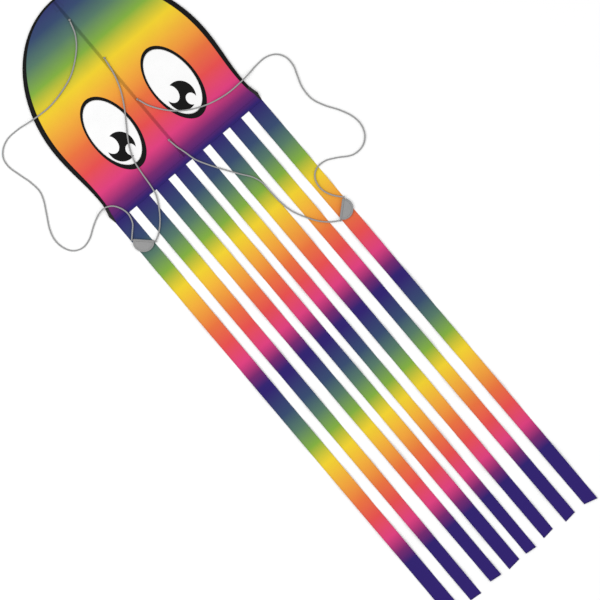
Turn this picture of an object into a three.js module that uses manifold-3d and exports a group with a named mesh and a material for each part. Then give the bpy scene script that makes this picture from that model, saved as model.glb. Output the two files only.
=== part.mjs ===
// Octopus kite, lying face up on the ground with its two line loops laid out.
// A dome-shaped head sail is held open by a bent hoop rod in an edge sleeve and by a spine,
// and eight flat tentacles are sewn to its lower hem. Each loop of soft line is tied at two
// points on the spine and carries one half-moon hand grip.
// Lengths are in millimetres. +Y points to the nose and +Z up. The ground is z = 0.
import * as THREE from 'three';
import { mergeVertices } from 'three/addons/utils/BufferGeometryUtils.js';
import Module from 'manifold-3d';

const wasm = await Module();
wasm.setup();

// ---- driving dimensions -------------------------------------------------------------------

const GAP = 0.3; // between pieces that touch
const HALF_LENGTH = 1494; // the nose and the longest tentacle lie this far from the centre
const SHEET = 0.8; // thickness that stands for a layer of cloth

// head outline
const HEAD_HALF_WIDTH = 400;
const WIDEST_Y = 996;
const DOME_HEIGHT = HALF_LENGTH - WIDEST_Y;
const NECK_HALF_WIDTH = 383.5;
const NECK_Y = 740;
const CORNER_HALF_WIDTH = 395.5;
const CORNER_Y = 667;
const SKIRT_HALF_WIDTH = 390;
const SKIRT_Y = 635;
const SLEEVE_END_Y = 700; // the edge sleeve stops here and the corner tab begins
const BORDER_AT_NOSE = 9; // widths of the black border
const BORDER_AT_NECK = 13;
const BORDER_SIDE_SWELL = 10;
const BORDER_SWELL_POWER = 0.8;
const BORDER_AT_CORNER = 14.5;
const BORDER_AT_SKIRT = 5;
const TAB_SLANT = 3 * GAP + 1.5; // squares the tab to the slanting end of the sleeve
const HEM_SIDE_GAP = 1.5; // between the hem's ends and the corner tabs
const HEM_TOP_Y = 655;
const SEAM_Y = 633; // the tentacles are sewn on here
const FOLD_Y = -12; // each tentacle folds here, below the lines that lie on it

// heights of the layers above the ground
const SPINE_SLEEVE_TOP = 5.4;
const SAIL_BOTTOM = SPINE_SLEEVE_TOP + GAP;
const SAIL_TOP = SAIL_BOTTOM + SHEET;
const EYE_BOTTOM = SAIL_TOP + GAP;
const EYE_TOP = 7.2;
const EDGE_TOP = 7.2;

// rods
const HOOP_ROD_RADIUS = 1.75;
const HOOP_BORE_RADIUS = 2.1;
const HOOP_INSET = 5; // the hoop rod lies this far inside the outline
const HOOP_Z = EDGE_TOP / 2;
const HOOP_END_Y = 672;
const FERRULE_RADIUS = 2.65;
const FERRULE_BORE_RADIUS = 3;
const CAP_LENGTH_ON_ROD = 9;
const CAP_LENGTH_PAST_ROD = 3;
const SPINE_ROD_RADIUS = 2;
const SPINE_BORE_RADIUS = 2.3;
const SPINE_Z = SPINE_SLEEVE_TOP / 2;
const SPINE_SLEEVE_HALF_WIDTH = 6;
const SPINE_TOP_Y = 1476;
const SPINE_END_Y = 664;
const NOSE_POCKET = { low: 1440, high: 1483, lowHalf: 22, highHalf: 15 };
const END_POCKET = { low: 657, high: 680, halfWidth: 18 };

// line and grips
const LINE_RADIUS = 3;
const LINE_KNOT_RADIUS = 5;
const LINE_KNOT_HALF_HEIGHT = 3.8;
const LINE_KNOT_STEM_RADIUS = 2;
const LINE_HOLE_RADIUS = 2.4;
const LINE_ON_SAIL_Z = 10.6;
const GRIP_HALF_CHORD = 43;
const GRIP_DEPTH = 45.5;
const GRIP_THICKNESS = 9;
const GRIP_EDGE_RADIUS = 5.5;
const GRIP_BORE_RADIUS = 2.4;
const GRIP_AXIS_Z = 6.6;
const STOPPER_RADIUS = 4.6;
const STOPPER_OFFSET = 48.5; // from the middle of the grip to the centre of each stopper knot
const STOPPER_CORE_RADIUS = 2;
const STOPPER_OVERLAP = 0.5; // how far the core runs into each stopper knot
const KNOT_STEM_OVERLAP = 0.3; // how far a knot's stem runs up into the knot

// ---- small helpers ------------------------------------------------------------------------

function mix(a, b, share) {
  return a + (b - a) * share;
}

// A regular outline with that many sides, for round sections.
function roundShape(radius, sides) {
  const points = [];
  for (let i = 0; i < sides; i++) {
    const angle = (i / sides) * 2 * Math.PI;
    points.push(new THREE.Vector2(radius * Math.cos(angle), radius * Math.sin(angle)));
  }
  return new THREE.Shape(points);
}

function ringShape(radius, holeRadius, sides) {
  const shape = roundShape(radius, sides);
  shape.holes.push(new THREE.Path(roundShape(holeRadius, sides).getPoints().reverse()));
  return shape;
}

function polygonShape(corners) {
  return new THREE.Shape(corners.map(([x, y]) => new THREE.Vector2(x, y)));
}

function ovalShape(centre, radii) {
  const shape = new THREE.Shape();
  shape.absellipse(centre.x, centre.y, radii.x, radii.y, 0, 2 * Math.PI, false, 0);
  return shape;
}

// A flat plate of the shape's outline, between two heights.
function plate(shape, low, high, curveSegments = 24) {
  const geometry = new THREE.ExtrudeGeometry(shape, {
    depth: high - low,
    bevelEnabled: false,
    curveSegments,
  });
  geometry.translate(0, 0, low);
  return geometry;
}

// Straight runs between given points, each run taking the same share of the curve.
class Polyline extends THREE.Curve {
  constructor(points) {
    super();
    this.points = points;
  }

  getPoint(t, target = new THREE.Vector3()) {
    const place = t * (this.points.length - 1);
    const i = Math.min(Math.floor(place), this.points.length - 2);
    return target.lerpVectors(this.points[i], this.points[i + 1], place - i);
  }
}

function sweep(shape, path, steps) {
  return new THREE.ExtrudeGeometry(shape, { extrudePath: path, steps, bevelEnabled: false });
}

// A solid for cutting and joining, from a closed geometry.
function solid(geometry) {
  const bare = geometry.clone();
  bare.deleteAttribute('normal');
  bare.deleteAttribute('uv');
  const merged = mergeVertices(bare, 1e-4);
  return new wasm.Manifold(new wasm.Mesh({
    numProp: 3,
    vertProperties: new Float32Array(merged.attributes.position.array),
    triVerts: new Uint32Array(merged.index.array),
  }));
}

function geometryOf(manifold) {
  const { vertProperties, triVerts } = manifold.getMesh();
  const geometry = new THREE.BufferGeometry();
  geometry.setAttribute('position', new THREE.BufferAttribute(vertProperties, 3));
  geometry.setIndex(new THREE.BufferAttribute(triVerts, 1));
  geometry.computeVertexNormals();
  return geometry;
}

function cut(geometry, tools) {
  let result = solid(geometry);
  for (const tool of tools) {
    result = result.subtract(solid(tool));
  }
  return geometryOf(result);
}

// ---- finishes -----------------------------------------------------------------------------

const FINISHES = {
  sail: { color: '#e8a03c', roughness: 0.55, metalness: 0 },
  tentacle: { color: '#c84a6a', roughness: 0.55, metalness: 0 },
  blackCloth: { color: '#141414', roughness: 0.7, metalness: 0 },
  whiteCloth: { color: '#f4f4f2', roughness: 0.6, metalness: 0 },
  webbing: { color: '#1c1c1e', roughness: 0.8, metalness: 0 },
  fibreglass: { color: '#2a2a2c', roughness: 0.35, metalness: 0 },
  ferrule: { color: '#b8babd', roughness: 0.35, metalness: 1 },
  cap: { color: '#18181a', roughness: 0.5, metalness: 0 },
  line: { color: '#9a9a9a', roughness: 0.8, metalness: 0 },
  grip: { color: '#9b9b9b', roughness: 0.75, metalness: 0 },
};

const kite = new THREE.Group();

function addPiece(name, geometry, finish, parent = kite) {
  const mesh = new THREE.Mesh(geometry, new THREE.MeshStandardMaterial(FINISHES[finish]));
  mesh.name = name;
  parent.add(mesh);
  return mesh;
}

// ---- head outline -------------------------------------------------------------------------

// Half the head's width below its widest line: it narrows to the neck, then flares to the corners.
function sideHalfWidth(y) {
  if (y > NECK_Y) {
    const share = (WIDEST_Y - y) / (WIDEST_Y - NECK_Y);
    return mix(NECK_HALF_WIDTH, HEAD_HALF_WIDTH, (1 + Math.cos(Math.PI * share)) / 2);
  }
  if (y > CORNER_Y) {
    const share = (NECK_Y - y) / (NECK_Y - CORNER_Y);
    return mix(NECK_HALF_WIDTH, CORNER_HALF_WIDTH, share * share);
  }
  return mix(SKIRT_HALF_WIDTH, CORNER_HALF_WIDTH, (y - SKIRT_Y) / (CORNER_Y - SKIRT_Y));
}

const RIM_SIDE_SHARE = 0.28; // of the rim's own parameter, the part below the dome

// Right half of the outline, from a height on its straight side, up round the dome, to the nose.
class Rim extends THREE.Curve {
  constructor(bottomY) {
    super();
    this.bottomY = bottomY;
  }

  getPoint(t, target = new THREE.Vector3()) {
    if (t < RIM_SIDE_SHARE) {
      const y = mix(this.bottomY, WIDEST_Y, t / RIM_SIDE_SHARE);
      return target.set(sideHalfWidth(y), y, 0);
    }
    const angle = ((t - RIM_SIDE_SHARE) / (1 - RIM_SIDE_SHARE)) * (Math.PI / 2);
    const x = HEAD_HALF_WIDTH * Math.cos(angle);
    return target.set(x, WIDEST_Y + DOME_HEIGHT * Math.sin(angle), 0);
  }
}

// Width of the black border: narrow at the nose and the neck, wide at the sides, and coming
// to a point below the corner.
function borderWidth(y) {
  if (y < CORNER_Y) {
    return mix(BORDER_AT_SKIRT, BORDER_AT_CORNER, (y - SKIRT_Y) / (CORNER_Y - SKIRT_Y));
  }
  const share = Math.min(1, (HALF_LENGTH - y) / (HALF_LENGTH - NECK_Y));
  const swell = BORDER_SIDE_SWELL * Math.sin(Math.PI * share) ** BORDER_SWELL_POWER;
  return mix(BORDER_AT_NOSE, BORDER_AT_NECK, share) + swell;
}

// Points along the right half of the rim, moved inwards. The distance is a function of height.
function insetRim(bottomY, steps, distance) {
  const rim = new Rim(bottomY);
  const points = [];
  for (let i = 0; i <= steps; i++) {
    const point = rim.getPointAt(i / steps);
    const tangent = rim.getTangentAt(i / steps);
    const inwards = new THREE.Vector3(-tangent.y, tangent.x, 0);
    if (i === steps) {
      inwards.set(0, -1, 0);
    }
    points.push(point.addScaledVector(inwards, distance(point.y)));
  }
  points[steps].x = 0;
  return points;
}

function mirrored(points) {
  return points.map((p) => new THREE.Vector3(-p.x, p.y, p.z));
}

// Both halves in one run, from the right end over the nose to the left end.
function bothHalves(points) {
  return [...points, ...mirrored(points).reverse().slice(1)];
}

function outline(points) {
  return new THREE.Shape(points.map((p) => new THREE.Vector2(p.x, p.y)));
}

// ---- hoop rods, ferrule and end caps ------------------------------------------------------

const HOOP_STEPS = 44;
const HOOP_SIDES = 10;
const hoopRun = insetRim(HOOP_END_Y, HOOP_STEPS, () => HOOP_INSET)
  .map((p) => p.setZ(HOOP_Z));
const noseRun = [hoopRun[HOOP_STEPS - 1], hoopRun[HOOP_STEPS], mirrored(hoopRun)[HOOP_STEPS - 1]];

function hoopBore(points) {
  return sweep(roundShape(HOOP_BORE_RADIUS, HOOP_SIDES), new Polyline(points), HOOP_STEPS);
}

// A round piece about the hoop rod's last straight run, from the rod's end: along is measured
// up the rod from its end.
function onHoopEnd(points, profile) {
  const geometry = new THREE.LatheGeometry(profile, HOOP_SIDES);
  const up = new THREE.Vector3().subVectors(points[1], points[0]).normalize();
  const turn = new THREE.Quaternion().setFromUnitVectors(new THREE.Vector3(0, 1, 0), up);
  geometry.applyQuaternion(turn);
  geometry.translate(points[0].x, points[0].y, points[0].z);
  return geometry;
}

function profileOf(pairs) {
  return pairs.map(([radius, along]) => new THREE.Vector2(radius, along));
}

function capGeometry(points) {
  const outer = FERRULE_RADIUS;
  const inner = HOOP_BORE_RADIUS;
  return onHoopEnd(points, profileOf([
    [0, -CAP_LENGTH_PAST_ROD],
    [outer, -CAP_LENGTH_PAST_ROD],
    [outer, CAP_LENGTH_ON_ROD],
    [inner, CAP_LENGTH_ON_ROD],
    [inner, -GAP],
    [0, -GAP],
  ]));
}

function capBore(points) {
  const room = FERRULE_BORE_RADIUS;
  return onHoopEnd(points, profileOf([
    [0, -CAP_LENGTH_PAST_ROD - 2 * GAP],
    [room, -CAP_LENGTH_PAST_ROD - 2 * GAP],
    [room, CAP_LENGTH_ON_ROD + 2 * GAP],
    [0, CAP_LENGTH_ON_ROD + 2 * GAP],
  ]));
}

// The rod without the last little bit at the nose, where it meets the other half.
function rodPoints(points) {
  const run = points.map((p) => p.clone());
  const last = run.length - 1;
  const back = new THREE.Vector3().subVectors(run[last - 1], run[last]).normalize();
  run[last].addScaledVector(back, GAP);
  return run;
}

const hoopSides = { right: hoopRun, left: mirrored(hoopRun) };
for (const [side, points] of Object.entries(hoopSides)) {
  const rod = roundShape(HOOP_ROD_RADIUS, HOOP_SIDES);
  addPiece(`hoop_rod_${side}`, sweep(rod, new Polyline(rodPoints(points)), HOOP_STEPS), 'fibreglass');
  addPiece(`rod_end_cap_${side}`, capGeometry(points), 'cap');
}
const ferruleSection = ringShape(FERRULE_RADIUS, HOOP_BORE_RADIUS, HOOP_SIDES);
addPiece('nose_ferrule', sweep(ferruleSection, new Polyline(noseRun), 2), 'ferrule');

// ---- edge sleeve and corner tabs ----------------------------------------------------------

// The ferrule's room in the sleeve runs a little past both of its ends.
function longerBothEnds(points, extra) {
  const run = points.map((p) => p.clone());
  const last = run.length - 1;
  const before = new THREE.Vector3().subVectors(run[0], run[1]).normalize();
  const after = new THREE.Vector3().subVectors(run[last], run[last - 1]).normalize();
  run[0].addScaledVector(before, extra);
  run[last].addScaledVector(after, extra);
  return run;
}

const SLEEVE_STEPS = 44;
const sleeveOuter = bothHalves(insetRim(SLEEVE_END_Y, SLEEVE_STEPS, () => 0));
const sleeveInner = bothHalves(insetRim(SLEEVE_END_Y, SLEEVE_STEPS, borderWidth));
const ferruleRoom = roundShape(FERRULE_BORE_RADIUS, HOOP_SIDES);
addPiece('edge_sleeve', cut(
  plate(outline([...sleeveOuter, ...sleeveInner.reverse()]), 0, EDGE_TOP),
  [
    hoopBore(hoopSides.right),
    hoopBore(hoopSides.left),
    sweep(ferruleRoom, new Polyline(longerBothEnds(noseRun, 2 * GAP)), 2),
  ],
), 'blackCloth');

// The corner tab carries on from the sleeve's end, swells out to the corner and comes to a
// point at the seam. It holds the capped end of the hoop rod.
function tabOutline() {
  const heights = [SKIRT_Y, CORNER_Y, mix(CORNER_Y, SLEEVE_END_Y, 0.5), SLEEVE_END_Y - GAP];
  const outer = heights.map((y) => [sideHalfWidth(y), y]);
  const inner = heights.map((y) => [sideHalfWidth(y) - borderWidth(y), y]);
  inner[inner.length - 1][1] -= TAB_SLANT;
  return polygonShape([...outer, ...inner.reverse()]);
}

const rightTab = cut(plate(tabOutline(), 0, EDGE_TOP), [hoopBore(hoopRun), capBore(hoopRun)]);
addPiece('corner_tab_right', rightTab, 'webbing');
const halfTurn = new THREE.Matrix4().makeRotationY(Math.PI);
const leftTab = rightTab.clone().applyMatrix4(halfTurn).translate(0, 0, EDGE_TOP);
addPiece('corner_tab_left', leftTab, 'webbing');

// ---- spine --------------------------------------------------------------------------------

// A section drawn in x and z, drawn out along y.
function alongY(shape, lowY, highY) {
  const geometry = new THREE.ExtrudeGeometry(shape, { depth: highY - lowY, bevelEnabled: false });
  geometry.rotateX(Math.PI / 2);
  geometry.translate(0, highY, 0);
  return geometry;
}

const SPINE_SIDES = 12;

function spineRound(radius, lowY, highY) {
  return alongY(roundShape(radius, SPINE_SIDES), lowY, highY).translate(0, 0, SPINE_Z);
}

addPiece('spine_rod', spineRound(SPINE_ROD_RADIUS, SPINE_END_Y, SPINE_TOP_Y), 'fibreglass');

const sleeveSection = polygonShape([
  [-SPINE_SLEEVE_HALF_WIDTH, 0],
  [SPINE_SLEEVE_HALF_WIDTH, 0],
  [SPINE_SLEEVE_HALF_WIDTH, SPINE_SLEEVE_TOP],
  [-SPINE_SLEEVE_HALF_WIDTH, SPINE_SLEEVE_TOP],
]);
const sleeveLow = END_POCKET.high + GAP;
const sleeveHigh = NOSE_POCKET.low - GAP;
addPiece('spine_sleeve', cut(
  alongY(sleeveSection, sleeveLow, sleeveHigh),
  [spineRound(SPINE_BORE_RADIUS, sleeveLow - 1, sleeveHigh + 1)],
), 'blackCloth');

const nosePocket = polygonShape([
  [-NOSE_POCKET.lowHalf, NOSE_POCKET.low],
  [NOSE_POCKET.lowHalf, NOSE_POCKET.low],
  [NOSE_POCKET.highHalf, NOSE_POCKET.high],
  [-NOSE_POCKET.highHalf, NOSE_POCKET.high],
]);
addPiece('nose_pocket', cut(
  plate(nosePocket, 0, SPINE_SLEEVE_TOP),
  [spineRound(SPINE_BORE_RADIUS, NOSE_POCKET.low - 1, SPINE_TOP_Y + GAP)],
), 'webbing');

const endPocket = polygonShape([
  [-END_POCKET.halfWidth, END_POCKET.low],
  [END_POCKET.halfWidth, END_POCKET.low],
  [END_POCKET.halfWidth, END_POCKET.high],
  [-END_POCKET.halfWidth, END_POCKET.high],
]);
addPiece('spine_end_pocket', cut(
  plate(endPocket, 0, SPINE_SLEEVE_TOP),
  [spineRound(SPINE_BORE_RADIUS, SPINE_END_Y - GAP, END_POCKET.high + 1)],
), 'webbing');

// ---- head sail, hem and eyes --------------------------------------------------------------

// Where the four line ends are tied through the sail to the spine.
const lineKnots = [
  { name: 'left_upper_knot', x: 0, y: 1385 },
  { name: 'left_lower_knot', x: 9, y: 1175 },
  { name: 'right_upper_knot', x: 3, y: 960 },
  { name: 'right_lower_knot', x: -6, y: 750 },
];

const SAIL_STEPS = 48;
const sailHalf = insetRim(HEM_TOP_Y + GAP, SAIL_STEPS, (y) => borderWidth(y) + GAP);
const sailShape = outline(bothHalves(sailHalf));
for (const knot of lineKnots) {
  const hole = roundShape(LINE_HOLE_RADIUS, 8).getPoints().reverse();
  sailShape.holes.push(new THREE.Path(hole.map((p) => p.add(new THREE.Vector2(knot.x, knot.y)))));
}
addPiece('head_sail', plate(sailShape, SAIL_BOTTOM, SAIL_TOP), 'sail');

// The hem slopes from the raised edge of the sail down to the tentacles on the ground.
const hemHalfWidth = sideHalfWidth(HEM_TOP_Y) - borderWidth(HEM_TOP_Y) - HEM_SIDE_GAP;
const hemSection = polygonShape([
  [SEAM_Y, 0],
  [HEM_TOP_Y, SAIL_BOTTOM],
  [HEM_TOP_Y, SAIL_TOP],
  [SEAM_Y, SHEET],
]);
const hem = new THREE.ExtrudeGeometry(hemSection, { depth: 2 * hemHalfWidth, bevelEnabled: false });
hem.translate(0, 0, -hemHalfWidth);
// the section's x and y become the kite's y and z, and its depth becomes x
hem.applyMatrix4(new THREE.Matrix4().makeBasis(
  new THREE.Vector3(0, 1, 0),
  new THREE.Vector3(0, 0, 1),
  new THREE.Vector3(1, 0, 0),
));
addPiece('skirt_hem', hem, 'sail');

// Each eye is a black oval with a white one let into it, and in that the pupil, with two
// highlights bitten out of it.
const EYES = { left: -161, right: 161 };
const EYE_Y = 918;
const EYE_RADII = new THREE.Vector2(97.5, 176);
const WHITE_OFFSET = new THREE.Vector2(-1.3, 4.5);
const WHITE_RADII = new THREE.Vector2(87, 156);
const PUPIL_OFFSET = new THREE.Vector2(-11, -62.5);
const PUPIL_RADII = new THREE.Vector2(57, 64);
const HIGHLIGHTS = [
  { offset: new THREE.Vector2(-28, 31.5), radii: new THREE.Vector2(29, 40) },
  { offset: new THREE.Vector2(23.5, -35.5), radii: new THREE.Vector2(21.5, 26) },
];

function ovalPlate(centre, radii, grow = 0, reach = 0) {
  const grown = radii.clone().addScalar(grow);
  return plate(ovalShape(centre, grown), EYE_BOTTOM - reach, EYE_TOP + reach, 16);
}

// The pupil's outline moved out by grow, as a solid that sticks out by reach above and below.
function pupilSolid(centre, grow, reach) {
  let result = solid(ovalPlate(centre, PUPIL_RADII, grow, reach));
  for (const { offset, radii } of HIGHLIGHTS) {
    const place = centre.clone().add(offset);
    result = result.subtract(solid(ovalPlate(place, radii, -grow, reach + 1)));
  }
  return result;
}

for (const [side, x] of Object.entries(EYES)) {
  const centre = new THREE.Vector2(x, EYE_Y);
  const whiteCentre = centre.clone().add(WHITE_OFFSET);
  const pupilCentre = centre.clone().add(PUPIL_OFFSET);
  const black = solid(ovalPlate(centre, EYE_RADII));
  const whiteRoom = solid(ovalPlate(whiteCentre, WHITE_RADII, GAP, 1));
  const white = solid(ovalPlate(whiteCentre, WHITE_RADII));
  addPiece(`eye_outline_${side}`, geometryOf(black.subtract(whiteRoom)), 'blackCloth');
  addPiece(`eye_white_${side}`, geometryOf(white.subtract(pupilSolid(pupilCentre, GAP, 1))), 'whiteCloth');
  addPiece(`pupil_${side}`, geometryOf(pupilSolid(pupilCentre, 0, 0)), 'blackCloth');
}

// ---- tentacles ----------------------------------------------------------------------------

// Left and right edge at the seam and at the free end, and how far the end's left and right
// corners stop short of the longest tentacle.
const TENTACLES = [
  { seam: [-390, -319.5], end: [-388, -326], short: [0, 16] },
  { seam: [-280, -212], end: [-276, -224], short: [15, 10] },
  { seam: [-174.5, -111], end: [-165.5, -113], short: [22, 16] },
  { seam: [-75.5, -17.5], end: [-74, -16], short: [10, 16] },
  { seam: [17.5, 74.5], end: [19, 68], short: [15, 10] },
  { seam: [110.5, 179.5], end: [115.5, 168], short: [16, 22] },
  { seam: [217, 277.5], end: [227, 280], short: [10, 16] },
  { seam: [319, 390], end: [330.5, 388], short: [16, 0] },
];

function tentacleCorner({ seam, end, short }, side, y) {
  const endY = -HALF_LENGTH + short[side];
  const top = SEAM_Y - GAP;
  return [mix(seam[side], end[side], (top - y) / (top - endY)), y];
}

TENTACLES.forEach((tentacle, i) => {
  const corner = (side, y) => tentacleCorner(tentacle, side, y);
  const top = SEAM_Y - GAP;
  const upper = polygonShape([
    corner(0, FOLD_Y + GAP), corner(1, FOLD_Y + GAP), corner(1, top), corner(0, top),
  ]);
  const lower = polygonShape([
    corner(0, -HALF_LENGTH + tentacle.short[0]),
    corner(1, -HALF_LENGTH + tentacle.short[1]),
    corner(1, FOLD_Y - GAP),
    corner(0, FOLD_Y - GAP),
  ]);
  addPiece(`tentacle_${i + 1}_upper`, plate(upper, 0, SHEET), 'tentacle');
  addPiece(`tentacle_${i + 1}_lower`, plate(lower, 0, SHEET), 'tentacle');
});

// ---- hand grips ---------------------------------------------------------------------------

// Each grip's middle, and the direction of its straight edge in degrees from +X. The half-moon
// bulges to the right of that direction.
const GRIPS = {
  left: { x: -350, y: 502.5, heading: -44 },
  right: { x: 353, y: 80, heading: 42 },
};

// A half-moon pad with a thick round straight edge, bored through along that edge. It is made
// with the bore along x and the half-moon towards -y.
function gripGeometry() {
  const halfMoon = new THREE.Shape();
  halfMoon.moveTo(GRIP_HALF_CHORD, 0);
  halfMoon.absellipse(0, 0, GRIP_HALF_CHORD, GRIP_DEPTH, 0, Math.PI, true, 0);
  const pad = plate(halfMoon, -GRIP_THICKNESS / 2, GRIP_THICKNESS / 2, 14);
  const edge = new THREE.CylinderGeometry(GRIP_EDGE_RADIUS, GRIP_EDGE_RADIUS, 2 * GRIP_HALF_CHORD, 20);
  edge.rotateZ(Math.PI / 2);
  const bore = new THREE.CylinderGeometry(GRIP_BORE_RADIUS, GRIP_BORE_RADIUS, 2 * GRIP_HALF_CHORD + 2, 12);
  bore.rotateZ(Math.PI / 2);
  return geometryOf(solid(pad).add(solid(edge)).subtract(solid(bore)));
}

// The line's core through the grip, between the stopper knots that keep the grip in place.
function stopperGeometry() {
  const points = [new THREE.Vector2(0, -STOPPER_OFFSET - STOPPER_RADIUS)];
  const ballSteps = 6;
  const half = [];
  for (let i = 1; i < ballSteps; i++) {
    const angle = (i / ballSteps) * Math.PI;
    half.push([STOPPER_RADIUS * Math.sin(angle), -STOPPER_OFFSET - STOPPER_RADIUS * Math.cos(angle)]);
  }
  const core = [STOPPER_CORE_RADIUS, -STOPPER_OFFSET + STOPPER_RADIUS - STOPPER_OVERLAP];
  const lower = [...half, core];
  const upper = [...lower].reverse().map(([radius, along]) => [radius, -along]);
  points.push(...profileOf([...lower, ...upper]));
  points.push(new THREE.Vector2(0, STOPPER_OFFSET + STOPPER_RADIUS));
  const geometry = new THREE.LatheGeometry(points, 10);
  geometry.rotateZ(-Math.PI / 2);
  return geometry;
}

for (const [side, grip] of Object.entries(GRIPS)) {
  const holder = new THREE.Group();
  holder.position.set(grip.x, grip.y, GRIP_AXIS_Z);
  holder.rotation.z = THREE.MathUtils.degToRad(grip.heading);
  kite.add(holder);
  addPiece(`hand_grip_${side}`, gripGeometry(), 'grip', holder);
  addPiece(`stopper_knots_${side}`, stopperGeometry(), 'line', holder);
}

// ---- line ---------------------------------------------------------------------------------

// A knot on top of the sail, whose stem goes through the sail to the spine.
function knotGeometry() {
  const bottom = LINE_ON_SAIL_Z - LINE_KNOT_HALF_HEIGHT;
  const pairs = [[0, SAIL_BOTTOM], [LINE_KNOT_STEM_RADIUS, SAIL_BOTTOM]];
  const steps = 8;
  for (let i = 1; i < steps; i++) {
    const angle = (i / steps) * Math.PI;
    const radius = LINE_KNOT_RADIUS * Math.sin(angle);
    const height = LINE_ON_SAIL_Z - LINE_KNOT_HALF_HEIGHT * Math.cos(angle);
    if (i === 1) {
      pairs.push([LINE_KNOT_STEM_RADIUS, bottom + KNOT_STEM_OVERLAP]);
    } else {
      pairs.push([radius, height]);
    }
  }
  pairs.push([0, LINE_ON_SAIL_Z + LINE_KNOT_HALF_HEIGHT]);
  const geometry = new THREE.LatheGeometry(profileOf(pairs), 12);
  geometry.rotateX(Math.PI / 2);
  return geometry;
}

for (const knot of lineKnots) {
  const mesh = addPiece(knot.name, knotGeometry(), 'line');
  mesh.position.set(knot.x, knot.y, 0);
}

// Each run of line lies loose, from its knot on the spine to one end of a hand grip.
const LINES = {
  left_upper_line: {
    steps: 80,
    route: [
      [-2, 1379, 10.6], [-18, 1330, 10.6], [-45, 1288, 10.6], [-87, 1247, 10.6],
      [-143, 1208, 10.6], [-207, 1184, 10.6], [-284, 1168, 10.6], [-345, 1168, 10.7],
      [-386, 1172, 10.7], [-415, 1176, 6.6], [-447, 1180, 3.3], [-506, 1178, 3.1],
      [-547, 1158, 3.1], [-570, 1130, 3.1], [-576, 1090, 3.1], [-564, 1037, 3.1],
      [-549, 982, 3.1], [-544, 931, 3.1], [-555, 893, 3.1], [-584, 839, 3.1],
      [-613, 785, 3.1], [-625, 738, 3.1], [-618, 691, 3.1], [-596, 657, 3.1],
      [-558, 641, 3.1], [-514, 651, 3.1], [-473, 677, 3.1], [-443, 694, 3.4],
      [-419, 704, 6.6], [-394, 708, 10.7], [-370, 702, 10.8], [-349, 686, 10.7],
      [-334, 660, 10.6], [-328, 638, 8.1], [-328, 617, 4.7], [-339, 585, 4.2],
      [-360, 562, 4.4], [-380.7, 540.6, 6.2],
    ],
  },
  left_lower_line: {
    steps: 46,
    route: [
      [7.5, 1169.2, 10.6], [3, 1136, 10.6], [-5, 1093, 10.6], [-22, 1040, 10.6],
      [-46, 991, 10.6], [-71, 950, 10.6], [-99, 909, 10.6], [-128, 866, 10.6],
      [-153, 821, 10.6], [-169, 777, 10.6], [-177, 722, 10.6], [-182, 664, 10.6],
      [-185, 640, 8.4], [-189, 618, 4.8], [-203, 586, 4.2], [-229, 544, 4.2],
      [-257, 510, 4.2], [-286, 485, 4.4], [-309.8, 471.7, 6.2],
    ],
  },
  right_upper_line: {
    steps: 80,
    route: [
      [5.2, 954.3, 10.6], [18, 919, 10.6], [42, 879, 10.6], [82, 832, 10.6],
      [131, 795, 10.6], [187, 767, 10.6], [243, 750, 10.6], [303, 741, 10.6],
      [356, 741, 10.7], [396, 744, 10.7], [426, 748, 6.6], [458, 753, 3.3],
      [512, 754, 3.1], [552, 737, 3.1], [576, 702, 3.1], [578, 656, 3.1],
      [563, 611, 3.1], [548, 563, 3.1], [548, 503, 3.1], [570, 450, 3.1],
      [606, 393, 3.1], [629, 341, 3.1], [634, 294, 3.1], [617, 249, 3.1],
      [581, 222, 3.1], [530, 220, 3.1], [470, 254, 3.1], [427, 274, 3.4],
      [385, 275, 4.2], [356, 257, 4.2], [341, 224, 4.2], [342, 186, 4.2],
      [360, 147, 4.4], [385.1, 117.1, 6.2],
    ],
  },
  right_lower_line: {
    steps: 46,
    route: [
      [-5.2, 744.2, 10.6], [0, 712, 10.6], [8, 684, 10.6], [14, 662, 10.6],
      [19, 640, 8.4], [26, 618, 4.8], [46, 580, 4.2], [82, 522, 4.2],
      [124, 461, 4.2], [159, 412, 4.2], [173, 372, 4.2], [175, 325, 4.2],
      [178, 268, 4.2], [189, 210, 4.2], [213, 158, 4.2], [246, 106, 4.2],
      [282, 70, 4.4], [312, 50.8, 6.2],
    ],
  },
};

const LINE_SIDES = 8;
for (const [name, { steps, route }] of Object.entries(LINES)) {
  const points = route.map(([x, y, z]) => new THREE.Vector3(x, y, z));
  const curve = new THREE.CatmullRomCurve3(points, false, 'centripetal');
  addPiece(name, sweep(roundShape(LINE_RADIUS, LINE_SIDES), curve, steps), 'line');
}

export default kite;
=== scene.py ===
"""Octopus kite, lying face up with its two line loops laid out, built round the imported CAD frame.

Everything is in metres in the frame's own axes: +Y to the nose, +Z up, the ground at z = 0.
"""

import math

import bmesh
import bpy
import numpy as np
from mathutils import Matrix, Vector
from mathutils.geometry import delaunay_2d_cdt
from mathutils.kdtree import KDTree


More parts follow.
